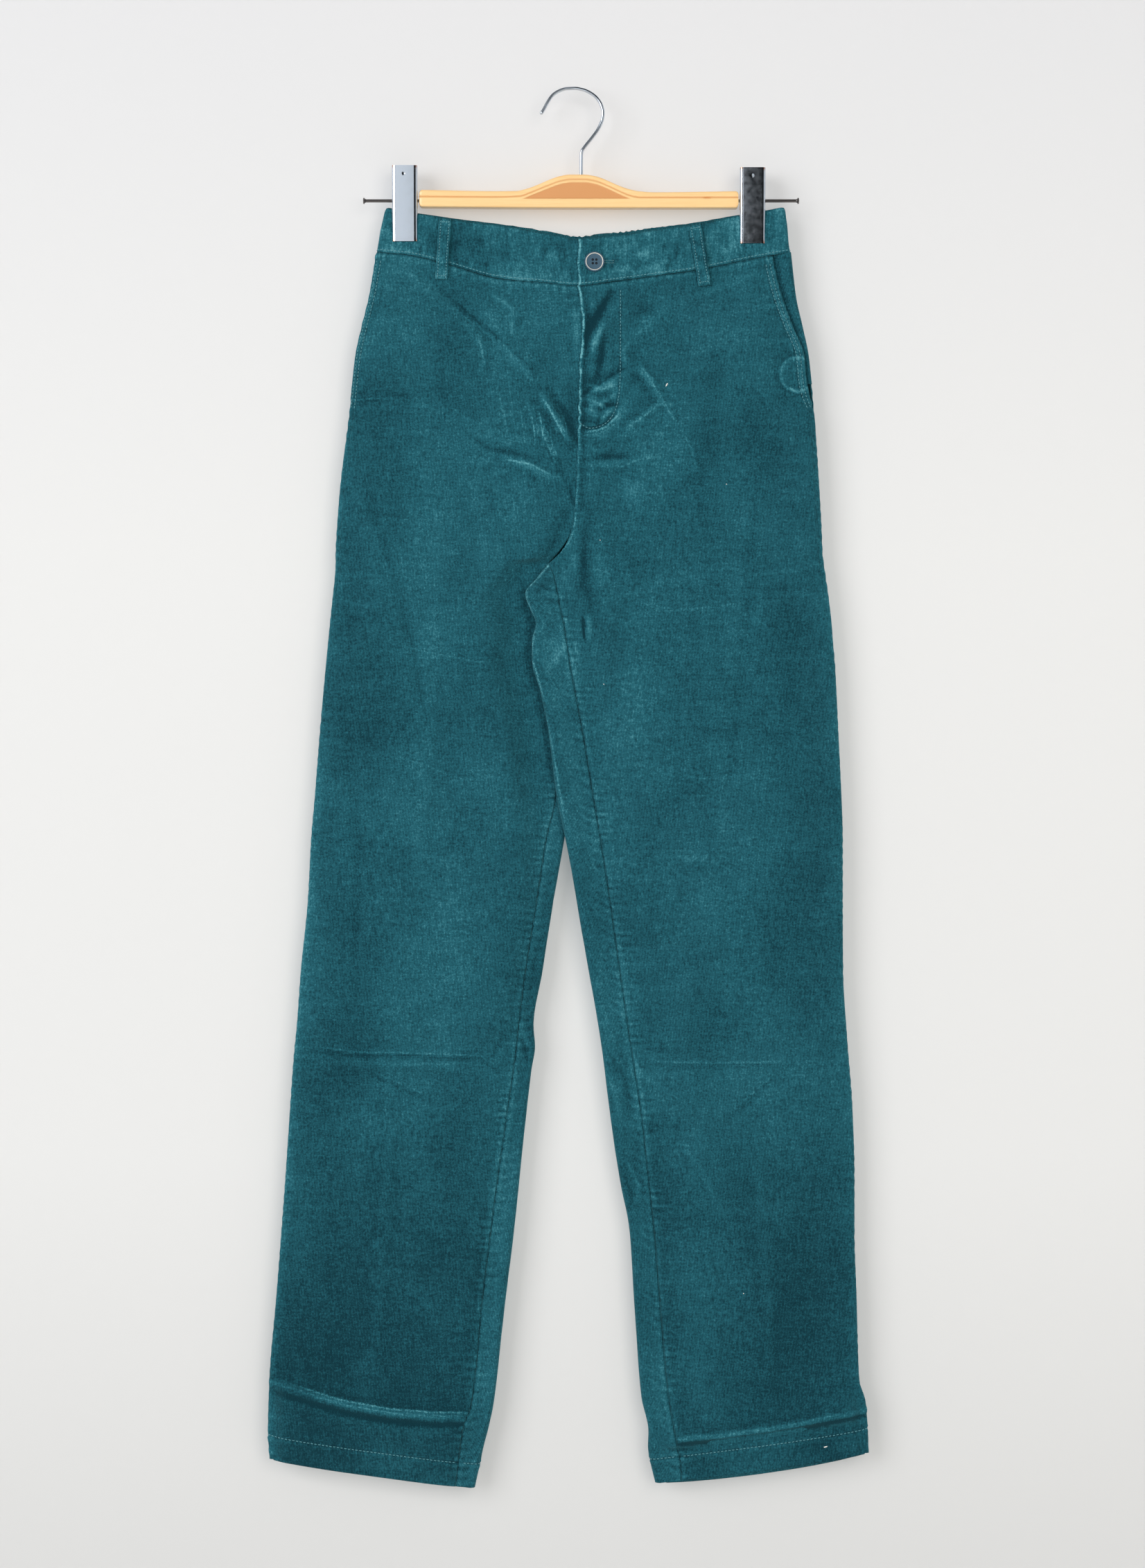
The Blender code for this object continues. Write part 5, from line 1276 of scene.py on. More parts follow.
def band_ring(w):
    """The band at a share w of its height: front, right end, back and left end."""
    right, left = (a + (b - a) * w for a, b in (BAND_ENDS[RIGHT], BAND_ENDS[LEFT]))
    r = along(BULGE, 133, 3) + BAND_PROUD
    share = lambda x: (x - right) / (left - right)
    drop = lambda x: along(WAIST, share(x)) * (1 - w) + along(WAIST, share(x), 2) * w
    xs = np.linspace(right + r, left - r, 301)
    half_f, half_b = (hip_half(xs, 140.0, c) + BAND_PROUD for c in (1, 2))
    wave = 0.8 * np.sin(xs * 2 * math.pi * ELASTIC_WAVES / 300 + 0.9 * np.sin(xs / 23)) * (0.6 + 0.4 * w)
    wave = wave * between_clips(xs, 14, 4)
    lift = BACK_LIFT * np.sin(math.pi * np.clip(share(xs), 0, 1))
    ruffle = 1.3 + 0.9 * np.sin(xs * 2 * math.pi / 5.2 + 2 * hills(xs, 0 * xs, 9, 206))
    lift = lift + w**4 * ruffle * bell(xs - 28, 55)
    front = np.column_stack([xs, -half_f, -drop(xs)])
    back = np.column_stack([xs, half_b + wave, -drop(xs) + lift])
    ends = []
    for x, a, b in ((right + r, 270, 90), (left - r, 90, -90)):
        p = arc(x, 0, r, a, b)
        ends.append(np.column_stack([p, np.full(len(p), -drop(x))])[1:-1])
    return front, ends[0], back, ends[1]


def band_grid(part, w):
    """One ring of a band's piece, as points from its first to its last edge."""
    front, end_r, back, end_l = band_ring(w)
    end_middle = len(end_r) // 2  # the point where the band turns from the front to the back
    under = front[front[:, 0] <= FLY_X + FLY_LAP][::-1]
    over = front[front[:, 0] >= FLY_X].copy()
    over[:, 1] -= BAND_STEP * fly_fade(over[:, 0] - FLY_X, FLY_LAP)
    parts, first, last, count = {
        "front_right": ((under, end_r, back), None, (len(under) + end_middle, OUTSEAM_WRAP), 96),
        "front_left": ((over, end_l[::-1], back[::-1]), None, (len(over) + end_middle, 0), 96),
        "back": (
            (end_r, back, end_l), (end_middle, OUTSEAM_WRAP), (len(end_r) + len(back) + end_middle, 0), 240,
        ),
    }[part]  # fmt: skip
    p = np.concatenate(parts)
    line = line_from(p, 1.0 + 2.0 * (np.abs(np.abs(p[:, 1]) - 1) < 2.2))
    start = line["s"][first[0]] + first[1] if first else 0
    return columns(line, start, line["s"][last[0]] + last[1], count)[0]


BAND_LEVELS, BAND_HEIGHT = np.linspace(1, 0, 7), 36
for part in ("front_right", "front_left", "back"):
    side = LEFT if part == "front_left" else RIGHT
    rings = np.array([band_grid(part, w) for w in BAND_LEVELS])
    g = grid_of(rings, np.linspace(0, BAND_HEIGHT, len(BAND_LEVELS)), side, 1.5)
    g["u"] = g["a"] - g["a"][:, -1:] / 2
    x, v, a = g["x"], g["v"], g["a"]
    up, down = bell(v, 1.4), bell(g["h"], 1.2)
    relief = 0.35 * hills(x, v, 16, 201) + 0.2 * hills(x, v, 7, 202) - 0.7 * up - 0.3 * down
    relief = relief + 0.2 * puckers(x, v - 3, 5, 203, 6.0) + 0.25 * puckers(x, g["h"] - 3, 5, 204, 6.0)
    relief = relief - 0.6 * bell(a, 1.2) - 0.6 * bell(g["b"], 1.2)
    if part == "back":
        relief = relief + 0.35 * np.sin(2 * math.pi * (x / 4.4 + 0.6 * hills(x, v, 14, 205))) * smooth(v / 3)
    # the band's tone: uneven nap in hills, a painted highlight on its folded top edge and another beside its
    # row of stitching, painted shade right at its foot
    nap_and_painted_light = 0.08 + 0.34 * hills(x, v, 22, 207) + 0.25 * bell(v - 0.8, 1.2)
    nap_and_painted_light = nap_and_painted_light - 0.1 * bell(g["h"], 0.8) + 0.3 * bell(g["h"] - 1.9, 1.0)
    nap_and_painted_light = nap_and_painted_light + 0.4 * hills(x, v / 5, 1.7, 209) + 0.2 * hills(x + 0.5 * v, v / 2, 8, 210)
    highlight = None
    if part == "front_left":
        nap_and_painted_light, highlight = fly_edge(g, nap_and_painted_light, no_highlight(g))
        # painted light and shade of fine diagonal wrinkles right of the button
        nap_and_painted_light = nap_and_painted_light + 0.45 * hills(x / 2.6, v + 0.12 * x, 4.2, 208) * bell(x - 52, 45) + 0.15
    piece = shell(f"waistband_{part}_cloth", g, relief, BAND_WALL, CORD, 0.0, nap_and_painted_light, highlight)
    dress(piece, f"waistband_{part}")
    GRIDS[f"waistband_{part}"] = g

# %% [markdown]
# Five loops of folded cord are stitched over the band. Each one lies on the band at both ends and bows away
# from it in between, where a belt would go through. A loop could be a bent box, but as a small grid it gets
# the same cord, relief and stitches as a panel.

# %% Belt loops
LOOP = {"width": 10.0, "wall": 1.6, "bow": 1.9, "gap": 0.5}
LOOPS = [
    # name, top x, top drop, bottom x, bottom drop, on the front
    ("belt_loop_front_right", -105.0, 106.0, -108.2, 156.2, True),
    ("belt_loop_front_left", 99.6, 111.0, 107.9, 161.5, True),
    ("belt_loop_back_right", -66.0, 108.0, -67.0, 158.0, False),
    ("belt_loop_back_centre", 4.6, 119.0, 4.6, 169.0, False),
    ("belt_loop_back_left", 78.0, 110.5, 80.0, 160.5, False),
]


def face_depth(x, drop, front):
    """How far the outermost cloth stands from the middle plane beside the waist seam."""
    c = 1 if front else 2
    right, left = BAND_ENDS[RIGHT][0], BAND_ENDS[LEFT][0]
    line = along(WAIST, (x - right) / (left - right)) - (0 if front else BACK_LIFT)
    band = hip_half(x, 140.0, c) + BAND_PROUD + (0 if front else 0.9)
    return np.where(drop < line + 1.0, band, hip_half(x, drop, c) + (0 if front else 1.5))


for name, x0, d0, x1, d1, front in LOOPS:
    u, w = np.linspace(0, 1, 33), np.linspace(-1, 1, 13)
    x, drop = x0 + (x1 - x0) * u, d0 + (d1 - d0) * u
    depth = np.maximum(*[face_depth(x, drop + d, front) for d in (-1.5, 1.5)])
    bowed = depth + LOOP["gap"] + LOOP["bow"] * np.sin(math.pi * u) ** 0.7 + LOOP["wall"]
    sign, half = (-1 if front else 1), LOOP["width"] / 2
    edge = half * w * (1 + 0.02 * np.sin(9 * u))[:, None]
    side = RIGHT if front else LEFT
    p = np.stack(
        [x[:, None] - side * edge, sign * (bowed[:, None] - 0.5 * np.abs(w) ** 6),
         -drop[:, None] + edge * -side * (x1 - x0) / (d1 - d0)], axis=2,
    )  # fmt: skip
    g = measured(p, LEFT)  # seen from outside, its columns run to the right on both sides
    g["u"] = g["a"]
    rows = bell(np.abs(g["a"] - g["a"][:, -1:] / 2) - 3.4, 0.7)
    relief = -0.35 * rows - 0.5 * bell(g["v"], 1.5) - 0.5 * bell(g["h"], 1.5)
    relief = relief + 0.15 * hills(x[:, None] + edge, -p[:, :, 2], 5, 211)
    across = g["a"] / g["a"][:, -1:]
    # painted highlights on the loop's folded edges and at its lower end, painted shade along its rows of
    # stitching; the hills are uneven nap
    nap_and_painted_light = 0.2 + 0.25 * bell(np.abs(across - 0.5) - 0.45, 0.07) - 0.3 * rows
    nap_and_painted_light = nap_and_painted_light + 0.5 * hills(g["a"] * 0.6, g["v"], 3, 212) + 0.5 * bell(g["h"] - 1.0, 1.0)
    piece = shell(name + "_cloth", g, relief, LOOP["wall"] - 0.3, CORD, 0.0, nap_and_painted_light)
    GRIDS[name] = g
    dress(piece, name)
print("belt loops:", len(LOOPS))

# %% [markdown]
# ## Hanger
# A light beech bar under clear lacquer, two pressed clips and a wire hook, all chromed. Chrome is a metal
# with a nearly mirror surface: it shows what is round it, so its look is made by the light and not by its
# own colour.

# %% Hard finishes
chrome, tree, shader = material("chromed_steel_polished")
place = node(tree, "TexCoord").outputs["Object"]
cloudy = node(tree, "TexNoise", Vector=place, Scale=190.0, Detail=3.0, Roughness=0.6).outputs[0]
scuffed = node(tree, "MapRange", Value=cloudy, i1=0.35, i2=0.7, i3=0.1, i4=0.16).outputs[0]
worn = node(tree, "Attribute", {"attribute_name": "worn"}).outputs["Fac"]
tint = blend(tree, cloudy, paint("c4ccd6"), paint("dfe6ee"))
ripple = node(tree, "Bump", Strength=0.012, Distance=0.0004, Height=cloudy).outputs[0]
give(tree, shader, Base_Color=blend(tree, worn, tint, paint("c07a4c")))
give(tree, shader, Metallic=1.0, Roughness=scuffed, Normal=ripple)

beech, tree, shader = material("beech_clear_lacquer")
place = node(tree, "TexCoord").outputs["Object"]
# the grain runs along the bar: long streaks, with short dark pores between them
grain_map = node(tree, "Mapping", Vector=place, Scale=(14.0, 420.0, 420.0)).outputs[0]
grain = node(tree, "TexNoise", Vector=grain_map, Scale=1.0, Detail=4.0, Roughness=0.6).outputs[0]
pores = node(tree, "TexNoise", Vector=grain_map, Scale=4.0, Detail=2.0).outputs[0]
streaks = maths(tree, "MULTIPLY_ADD", pores, 0.3, maths(tree, "MULTIPLY", grain, 0.8))
wood = blend(tree, streaks, paint("f2bd7a"), paint("fddaa0"))
cut_face = node(tree, "Attribute", {"attribute_name": "cut"}).outputs["Fac"]
give(tree, shader, Base_Color=blend(tree, cut_face, wood, paint("d3935a")), Roughness=0.4, Coat_Weight=0.4)
give(tree, shader, Coat_Roughness=0.12)

# the button's moulded resin, and the light ring in it
resin, tree, shader = material("polyester_resin_navy")
give(tree, shader, Base_Color=paint("3a5668"), Roughness=0.45, IOR=1.45)
ring_resin, tree, shader = material("silvered_resin_rim")
give(tree, shader, Base_Color=paint("e2ddd2"), Roughness=0.35, Metallic=0.2)
print("hard finishes:", ", ".join(m.name for m in (chrome, beech, resin, ring_resin)))

# %% [markdown]
# The bar's front has a routed groove that follows its hump, a raised bead under it and a sunk panel inside.
# The panel's floor was cut deeper into the wood and looks darker. Every ring of the mesh is a section of
# the bar.

# %% Bar
BAR_TOP = [  # x, drop of the bar's upper edge
    (-126.5, 82.2), (-60.0, 83.3), (-46.6, 83.1), (-37.8, 81.2), (-29.2, 78.1), (-20.5, 74.3), (-11.7, 71.2),
    (-3.0, 69.7), (9.1, 69.7), (18.8, 71.2), (28.3, 74.7), (37.1, 78.6), (45.7, 81.6), (54.4, 83.4),
    (66.6, 84.2), (135.7, 83.3),
]  # fmt: skip
BAR_BOTTOM = [(-126.5, 96.2), (5.0, 97.2), (135.7, 97.1)]
BAR = {"half": 6.0, "edge": 1.6, "corner": 2.6}
GROOVE = [  # x, drop of the groove
    (-126.5, 87.9), (-60, 88.3), (-43.9, 87.6), (-32.5, 83.7), (-20.9, 79.0), (-9.5, 75.0), (-1.9, 73.8),
    (9.6, 73.8), (18, 75.1), (28.7, 79.2), (40.1, 84.5), (47.8, 87.4), (55.4, 88.7), (135.7, 88.6),
]  # fmt: skip
PANEL = {"ends": (-43.0, 54.0), "floor": 89.9, "bead": 2.3, "deep": 0.8}
SLOT = {"x": (107.0, 113.5), "drop": 88.9}


def skin(name, rings, material, closed_ends=True):
    """A closed surface through rings of points in mm, each ring closed on itself."""
    rings = np.asarray(rings, float)
    count, n = rings.shape[:2]
    faces = [
        [r * n + c, r * n + (c + 1) % n, (r + 1) * n + (c + 1) % n, (r + 1) * n + c]
        for r in range(count - 1)
        for c in range(n)
    ]
    if closed_ends:
        faces += [list(range(n))[::-1], list(range((count - 1) * n, count * n))]
    o = add_mesh(name, rings.reshape(-1, 3), faces, material)
    mesh = bmesh.new()
    mesh.from_mesh(o.data)
    bmesh.ops.recalc_face_normals(mesh, faces=mesh.faces)
    mesh.to_mesh(o.data)
    mesh.free()
    return o


(start, stop), tip = (BAR_TOP[0][0], BAR_TOP[-1][0]), 2.5  # the rings are closer together over each tip
xs = np.concatenate([
    np.linspace(start, start + tip, 7)[:-1], np.linspace(start + tip, stop - tip, 210),
    np.linspace(stop - tip, stop, 7)[1:],
])  # fmt: skip
from_end = np.minimum(xs - start, stop - xs)
r = BAR["corner"]
round_off = r - np.sqrt(np.maximum(r**2 - np.maximum(r - from_end, 0) ** 2, 0))
top, bottom = along(BAR_TOP, xs) + round_off, along(BAR_BOTTOM, xs) - round_off
FACE = 44  # points up the bar's front
t = np.linspace(0, 1, FACE)
rings, cut = [], []
for x, high, low, end in zip(xs, top, bottom, from_end):
    e = BAR["edge"]
    drop = low - e + (high - low + 2 * e) * t
    groove_at = along(GROOVE, x)
    inside = smooth((drop - groove_at - PANEL["bead"]) / 0.5) * smooth((PANEL["floor"] - drop) / 0.5)
    inside = inside * smooth((x - PANEL["ends"][0]) / 1.0) * smooth((PANEL["ends"][1] - x) / 1.0)
    slot = bell(drop - SLOT["drop"], 0.6)
    slot = slot * smooth((x - SLOT["x"][0]) / 0.5) * smooth((SLOT["x"][1] - x) / 0.5)
    line = bell(drop - groove_at, 0.55)
    deep = PANEL["deep"] * inside + 0.7 * line + 0.8 * slot - 0.12 * bell(drop - groove_at - 1.4, 0.6)
    half = BAR["half"] - 0.5 * bell(end, 1.5)
    front = np.stack([np.full(FACE, x), -half + deep, -drop], axis=1)
    a = np.radians(np.linspace(0, 90, 6))[1:]
    corner = lambda d, s, y: np.stack(
        [0 * a + x, y * (half - e + e * np.cos(a)), -(d + s * e * (1 - np.sin(a)))], axis=1
    )
    ring = np.concatenate([
        front, corner(high, 1, -1), corner(high, 1, 1)[::-1], [[x, half, -(high + e)]],
        [[x, half, -(low - e)]], corner(low, -1, 1), corner(low, -1, -1)[::-1],
    ])  # fmt: skip
    rings.append(ring)
    bare = np.maximum(0.95 * inside, np.maximum(0.8 * line, slot))  # where the tool cut into the wood
    cut.append(np.pad(bare, (0, len(ring) - FACE)))
bar = skin("hanger_bar_turned", rings, beech)
add_attribute(bar, "cut", cut)
dress(bar, "hanger_bar")
print("bar:", len(bar.data.vertices), "points")

# %% [markdown]
# The hook is bent from round wire. A curve with a round bevel is the usual way, but its end is cut off flat,
# so the tube is built ring by ring along a smooth line, and its first rings shrink to a rounded tip.

# %% Hook
WIRE = 1.45
HOOK_LINE = [  # x, height above the origin: from the open tip over the top to the shank
    (-27.0, -19.5), (-24.9, -16.4), (-20.5, -8.5), (-17.0, -3.7), (-11.7, -0.2), (-5.6, 1.7),
    (1.3, 2.0), (8.2, 0.8), (14.3, -1.9), (19.6, -6.2), (23.1, -11.8), (24.5, -17.9), (24.0, -23.1),
    (22.3, -27.9), (20.3, -31.8), (14.4, -39.9), (8.7, -47.1), (7.1, -49.8), (6.6, -53.0), (6.5, -70.0),
]  # fmt: skip
line = np.array(HOOK_LINE)
s = lengths(line)
at = np.linspace(0, s[-1], 130)
x, z = through(s, line, at).T
dx, dz = np.gradient(x), np.gradient(z)
dx, dz = dx / np.hypot(dx, dz), dz / np.hypot(dx, dz)
tip = np.sqrt(np.clip(1 - (1 - np.clip(at / WIRE, 0, 1)) ** 2, 0.02, 1))
a = np.linspace(0, 2 * math.pi, 16, endpoint=False)
radius = (WIRE * tip)[:, None]
aside = radius * np.cos(a)
tube = [x[:, None] - dz[:, None] * aside, radius * np.sin(a), z[:, None] + dx[:, None] * aside]
hook = skin("hanger_hook_wire", np.stack(np.broadcast_arrays(*tube), axis=2), chrome)
dress(hook, "hanger_hook")
print("wire in the hook:", round(s[-1]), "mm")

# %% [markdown]
# The clips are pressed from sheet with their sides turned back. The bend is about 2 mm round, and this
# round edge is what catches the bright windows. A dimple near the top holds the spring, and at the corners
# the chrome is worn down to the copper under it. One section with its bends is drawn for every height, so
# the sides can be deep at the spring and shallow at the jaw.

# %% Clips
CLIPS = {"right": (-138.3, 62.9), "left": (147.2, 64.6)}  # middle x, drop of the upper end
CLIP = {"width": 21.0, "height": 61.6, "wall": 0.8, "corner": 2.0, "clear": 0.35, "dimple": (-0.6, 6.8)}
CLIP_SIDE = [
    # below the upper end, face's distance from the middle plane, depth of the turned-back sides
    (0.0, 9.8, 7.5), (12.0, 9.4, 9.5), (20.0, 8.9, 11.4), (28.0, 8.3, 11.0), (33.0, 7.8, 9.6),
    (34.2, 7.7, 2.6), (42.0, 6.8, 2.4), (50.0, 5.7, 2.2), (56.0, 5.0, 2.1), (61.6, 5.2, 2.1),
]  # fmt: skip
bends = np.radians(np.linspace(0, 90, 9))
for part, (middle, upper) in CLIPS.items():
    for sign, where in ((-1, "front"), (1, "back")):
        half = CLIP["width"] / 2 - (0 if sign < 0 else CLIP["wall"] + CLIP["clear"])
        r, wall = CLIP["corner"], CLIP["wall"]
        rings, worn = [], []
        for below in np.linspace(0, CLIP["height"], 124):
            face, depth = along(CLIP_SIDE, below), max(along(CLIP_SIDE, below, 2), r + 0.05)
            flat = np.linspace(-(half - r), half - r, 37)[1:-1]
            from_dimple = np.hypot(flat - CLIP["dimple"][0], below - CLIP["dimple"][1])
            dent = 0.35 * bell(from_dimple, 0.8) * (sign < 0)
            crown = 0.08 * (flat / half) ** 2 + dent
            bx, by = half - r + r * np.sin(bends), r - r * np.cos(bends) + 0.2
            outer = np.concatenate([
                [(-half, depth)], np.column_stack([-bx, by])[::-1], np.column_stack([flat, crown]),
                np.column_stack([bx, by]), [(half, depth), (half - wall, depth)],
                [(half - wall, r + 0.2), (half - r, wall + 0.2)],
                [(-(half - r), wall + 0.2), (-(half - wall), r + 0.2)], [(-(half - wall), depth)],
            ])  # fmt: skip
            rings.append([(middle + px, sign * (face - py), -(upper + below)) for px, py in outer])
            ends = min(below, CLIP["height"] - below)
            at_corner = bell(np.abs(outer[:, 0]) - half + 1.4, 1.0) * bell(ends, 2.2)
            worn.append(0.9 * at_corner * (outer[:, 1] < 2.2))
        plate = skin(f"clip_{part}_{where}_plate", rings, chrome)
        add_attribute(plate, "worn", worn)
        dress(plate, f"clip_{part}_{where}")
        plate.data.set_sharp_from_angle(angle=math.radians(50))

dull, tree, shader = material("steel_wire_dull")
give(tree, shader, Base_Color=paint("6f6a68"), Metallic=1.0, Roughness=0.3)
for name in ("hanger_rod_right", "hanger_rod_left"):
    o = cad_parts[name]
    o.data.materials.clear()
    o.data.materials.append(dull)
print("clips:", len(CLIPS) * 2, "plates")

# %% [markdown]
# The button is turned from navy resin with four holes and a light ring near its edge. Like on a lathe, a
# profile is turned round an axis, which the screw modifier would do as well. The holes are filled with dark
# thread, so they are small discs and not cut.

# %% Button
BUTTON = {"x": 17.4, "drop": 142.7, "radius": 8.2, "wall": 2.4, "pitch": 2.1, "hole": 1.05}


def turned(name, profile, at, material, sides=48):
    """A body turned from (radius, height towards the viewer) rings round an axis along Y."""
    a = np.linspace(0, 2 * math.pi, sides, endpoint=False)
    rings = [[(at[0] + r * math.cos(t), at[1] - h, at[2] + r * math.sin(t)) for t in a] for r, h in profile]
    return skin(name, rings, material, profile[0] != profile[-1])


face = hip_half(BUTTON["x"], 140.0, 1) + BAND_PROUD + BAND_STEP + 0.45
at = (BUTTON["x"], -face, -BUTTON["drop"])
r, w = BUTTON["radius"], BUTTON["wall"]
profile = [
    (r - 1.6, 0), (r - 0.5, 0.35), (r, 1.0), (r, 1.6), (r - 0.2, w - 0.25), (r - 0.5, w - 0.08), (r - 0.9, w),
    (r - 1.3, w - 0.08), (r - 1.7, w - 0.45), (r - 2.2, w - 0.7), (r - 2.8, w - 0.78), (1.2, w - 0.82),
    (0.05, w - 0.82),
]  # fmt: skip
button = turned("button_turned", profile, at, resin)
dress(button, "button")
rim = [
    (r - 1.7, w - 0.5), (r - 1.55, w - 0.12), (r - 1.3, w + 0.03), (r - 1.05, w + 0.02), (r - 1.0, w - 0.2),
    (r - 1.7, w - 0.5),
]  # fmt: skip
ring = turned("button_rim", rim, at, ring_resin)
dress(ring, None)
dark_thread, tree, shader = material("polyester_thread_navy")
give(tree, shader, Base_Color=paint("0c1620"), Roughness=0.8)
p = BUTTON["pitch"] / math.sqrt(2)
filled = [(BUTTON["hole"], w - 0.9), (BUTTON["hole"], w - 0.78), (0.05, w - 0.785)]
for i, (hx, hz) in enumerate([(p, p), (-p, p), (-p, -p), (p, -p)]):
    hole = turned(f"button_hole_{i}", filled, (at[0] + hx, at[1], at[2] + hz), dark_thread, 16)
    dress(hole, None)
print("button front at", round(-(face + w), 1), "mm")

# %% [markdown]
# ## Stitches
# Top stitching is the detail that gives a garment its scale: about three and a half stitches to the
# centimetre, in a thread one shade lighter than the cloth. Each stitch is a short capsule that sinks at
# both ends. It is placed on the skin by the same grid that the cloth was made from.

# %% Stitch helpers
STITCH = {"pitch": 2.8, "long": 2.1, "thick": 0.3}
BUTTONHOLE = {"ends": (25.0, 34.0), "drops": (141.6, 143.4)}


def on_cloth(g, x, drop):
    """The skin's point nearest to a place on the front, with its normal."""
    px, py, pz = (g["out"][:, :, axis] for axis in range(3))
    nearest = np.argmin((px - x) ** 2 + (pz + drop) ** 2 + 0.2 * (py + 12) ** 2)
    return np.array([x, py.ravel()[nearest], -drop]), g["n"].reshape(-1, 3)[nearest]


def along_edge(g, distance, key, rows):
    """Points with normals at a distance in mm from a grid's edge, over some of its rows or columns."""
    points = []
    for i in rows:
        take = (slice(None), i) if key in "vh" else (i, slice(None))
        far, out, n = g[key][take], g["out"][take], g["n"][take]
        order = np.argsort(far)
        pick = lambda values: [np.interp(distance, far[order], values[order, c]) for c in range(3)]
        points.append((np.array(pick(out)), np.array(pick(n))))
    return points


def spaced(points, pitch):
    """Points with normals, moved to be evenly spaced along their line."""
    p, n = np.array([q[0] for q in points]), np.array([q[1] for q in points])
    s = lengths(p)
    at = np.arange(pitch / 2, s[-1], pitch)
    take = lambda values, where: np.stack([np.interp(where, s, values[:, c]) for c in range(3)], axis=1)
    return take(p, at), take(p, at + 0.5) - take(p, at - 0.5), take(n, at)


# a stitch's rings: place along it, size, height over the cloth
CAPSULE = ((-1, 0.3, -0.15), (-0.6, 1, 0.12), (0, 1.1, 0.2), (0.6, 1, 0.12), (1, 0.3, -0.15))
SIDES = 6


def sewn(lines, seed, thick=STITCH["thick"]):
    """All stitches of some lines as points and faces of one mesh."""
    round_a_ring = [(math.cos(a), math.sin(a)) for a in np.arange(SIDES) * math.pi / 3]
    chance = np.random.default_rng(seed)
    points, faces = [], []
    for line, pitch in lines:
        for p, t, n in zip(*spaced(line, pitch)):
            t = t / max(np.linalg.norm(t), 1e-6)
            n = n / max(np.linalg.norm(n), 1e-6)
            w = np.cross(t, n)
            t = t + w * chance.normal(0, 0.06)
            start = len(points)
            half, r = STITCH["long"] / 2 * pitch / STITCH["pitch"], thick
            for u, size, up in CAPSULE:
                middle = p + t * half * u + n * up
                points += [middle + r * size * (w * c + n * s) for c, s in round_a_ring]
            last = start + SIDES * (len(CAPSULE) - 1)
            for k in range(start, last, SIDES):
                for i in range(SIDES):
                    a, b = k + i, k + (i + 1) % SIDES
                    faces.append([a, b, b + SIDES, a + SIDES])
            faces += [list(range(start, start + SIDES))[::-1], list(range(last, last + SIDES))]
    return points, faces


print("points in a stitch:", SIDES * len(CAPSULE))

# %% [markdown]
# The thread is spun polyester: a soft plastic yarn, a little smoother than the cotton round it. Two dense
# rows beside the button are the edges of its buttonhole.

# %% Rows of stitches
thread, tree, shader = material("polyester_thread_teal")
give(tree, shader, Base_Color=paint("4f909a"), Roughness=0.6, Sheen_Weight=0.3)

rows_to = lambda g, drop: [i for i in range(g["d"].shape[0]) if g["d"][i, 0] < drop and g["d"][i, 0] > 0]
lines = []
j = np.array(J_STITCH)
length = lengths(j)
bend = through(length, j, np.linspace(0, length[-1], 90))
lines.append(([on_cloth(GRIDS["front_left"], x, d) for x, d in bend], STITCH["pitch"]))
for name in ("front_left", "front_right"):
    g = GRIDS[name]
    for row in POCKET_ROWS:
        lines.append((along_edge(g, row, "b", [i for i in rows_to(g, FACING_END) if i > 4]), 2.9))
for name in ("front_left", "front_right", "back_left", "back_right"):
    g = GRIDS[name]
    lines.append((along_edge(g, HEM_DEPTH, "h", range(2, g["x"].shape[1] - 2)), 3.1))
for name in ("front_left", "front_right", "back"):
    g = GRIDS[f"waistband_{name}"]
    lines.append((along_edge(g, 1.9, "h", range(1, g["x"].shape[1] - 1)), 2.9))
for name, *_, front in LOOPS:
    g = GRIDS[name]
    for c in (2, 10):
        lines.append(([(g["out"][r, c], g["n"][r, c]) for r in range(1, 32)], 2.4))
    for r in (2, 30):
        lines.append(([(g["out"][r, c], g["n"][r, c]) for c in range(1, 12)], 1.6))
band_left = GRIDS["waistband_front_left"]
for drop in BUTTONHOLE["drops"]:
    lines.append(([on_cloth(band_left, x, drop) for x in np.linspace(*BUTTONHOLE["ends"], 12)], 1.1))
points, faces = sewn(lines, 301)
stitches = add_mesh("top_stitching", points, faces, thread)
dress(stitches, None)
print("stitches:", len(points) // (SIDES * len(CAPSULE)))

# %% [markdown]
# A pile picks up fluff. Particles could strew it, but these few bits have places of their own, so each one is
# a pale stitch that lies on the cloth.

# %% Lint
LINT = [  # x, drop, length, lean of the fluff and the end of thread that the pile has picked up
    (76.6, 243.2, 4.6, 0.5), (22.0, 370.5, 0.9, 0.0), (25.0, 488.5, 0.9, 0.3), (125.5, 324.6, 0.9, 0.2),
    (139.6, 988.0, 1.0, 0.4), (207.0, 1114.0, 4.5, 1.3),
]  # fmt: skip
points, faces = [], []
for x, drop, long, lean in LINT:
    ends = [(x + s * long / 2 * math.sin(lean), drop - s * long / 2 * math.cos(lean)) for s in (-1, 0, 1)]
    fluff, sides = sewn([([on_cloth(GRIDS["front_left"], *end) for end in ends], long * 0.98)], 302, 0.5)
    faces += [[i + len(points) for i in side] for side in sides]
    points += fluff
cotton, tree, shader = material("cotton_lint")
give(tree, shader, Base_Color=paint("e6e4de"), Roughness=0.9)
dress(add_mesh("lint", points, faces, cotton), None)
print("bits of lint:", len(LINT))

# %% [markdown]
# ## Camera and lamps
# The photograph was taken from straight in front, from nearly three metres away. The main light comes from
# the left of the camera and is large and soft, because a small lamp would draw hard shadows on the wall. A
# second one on the right lifts the shadows, and a third lights the back.

# %% Camera and lamps
SCALE = 0.57  # mm of the object for one pixel of the photograph
CENTRE = (-0.6, -570.3)  # x and z at the middle of the picture
DISTANCE = 2800.0
TALL = 2263 * SCALE

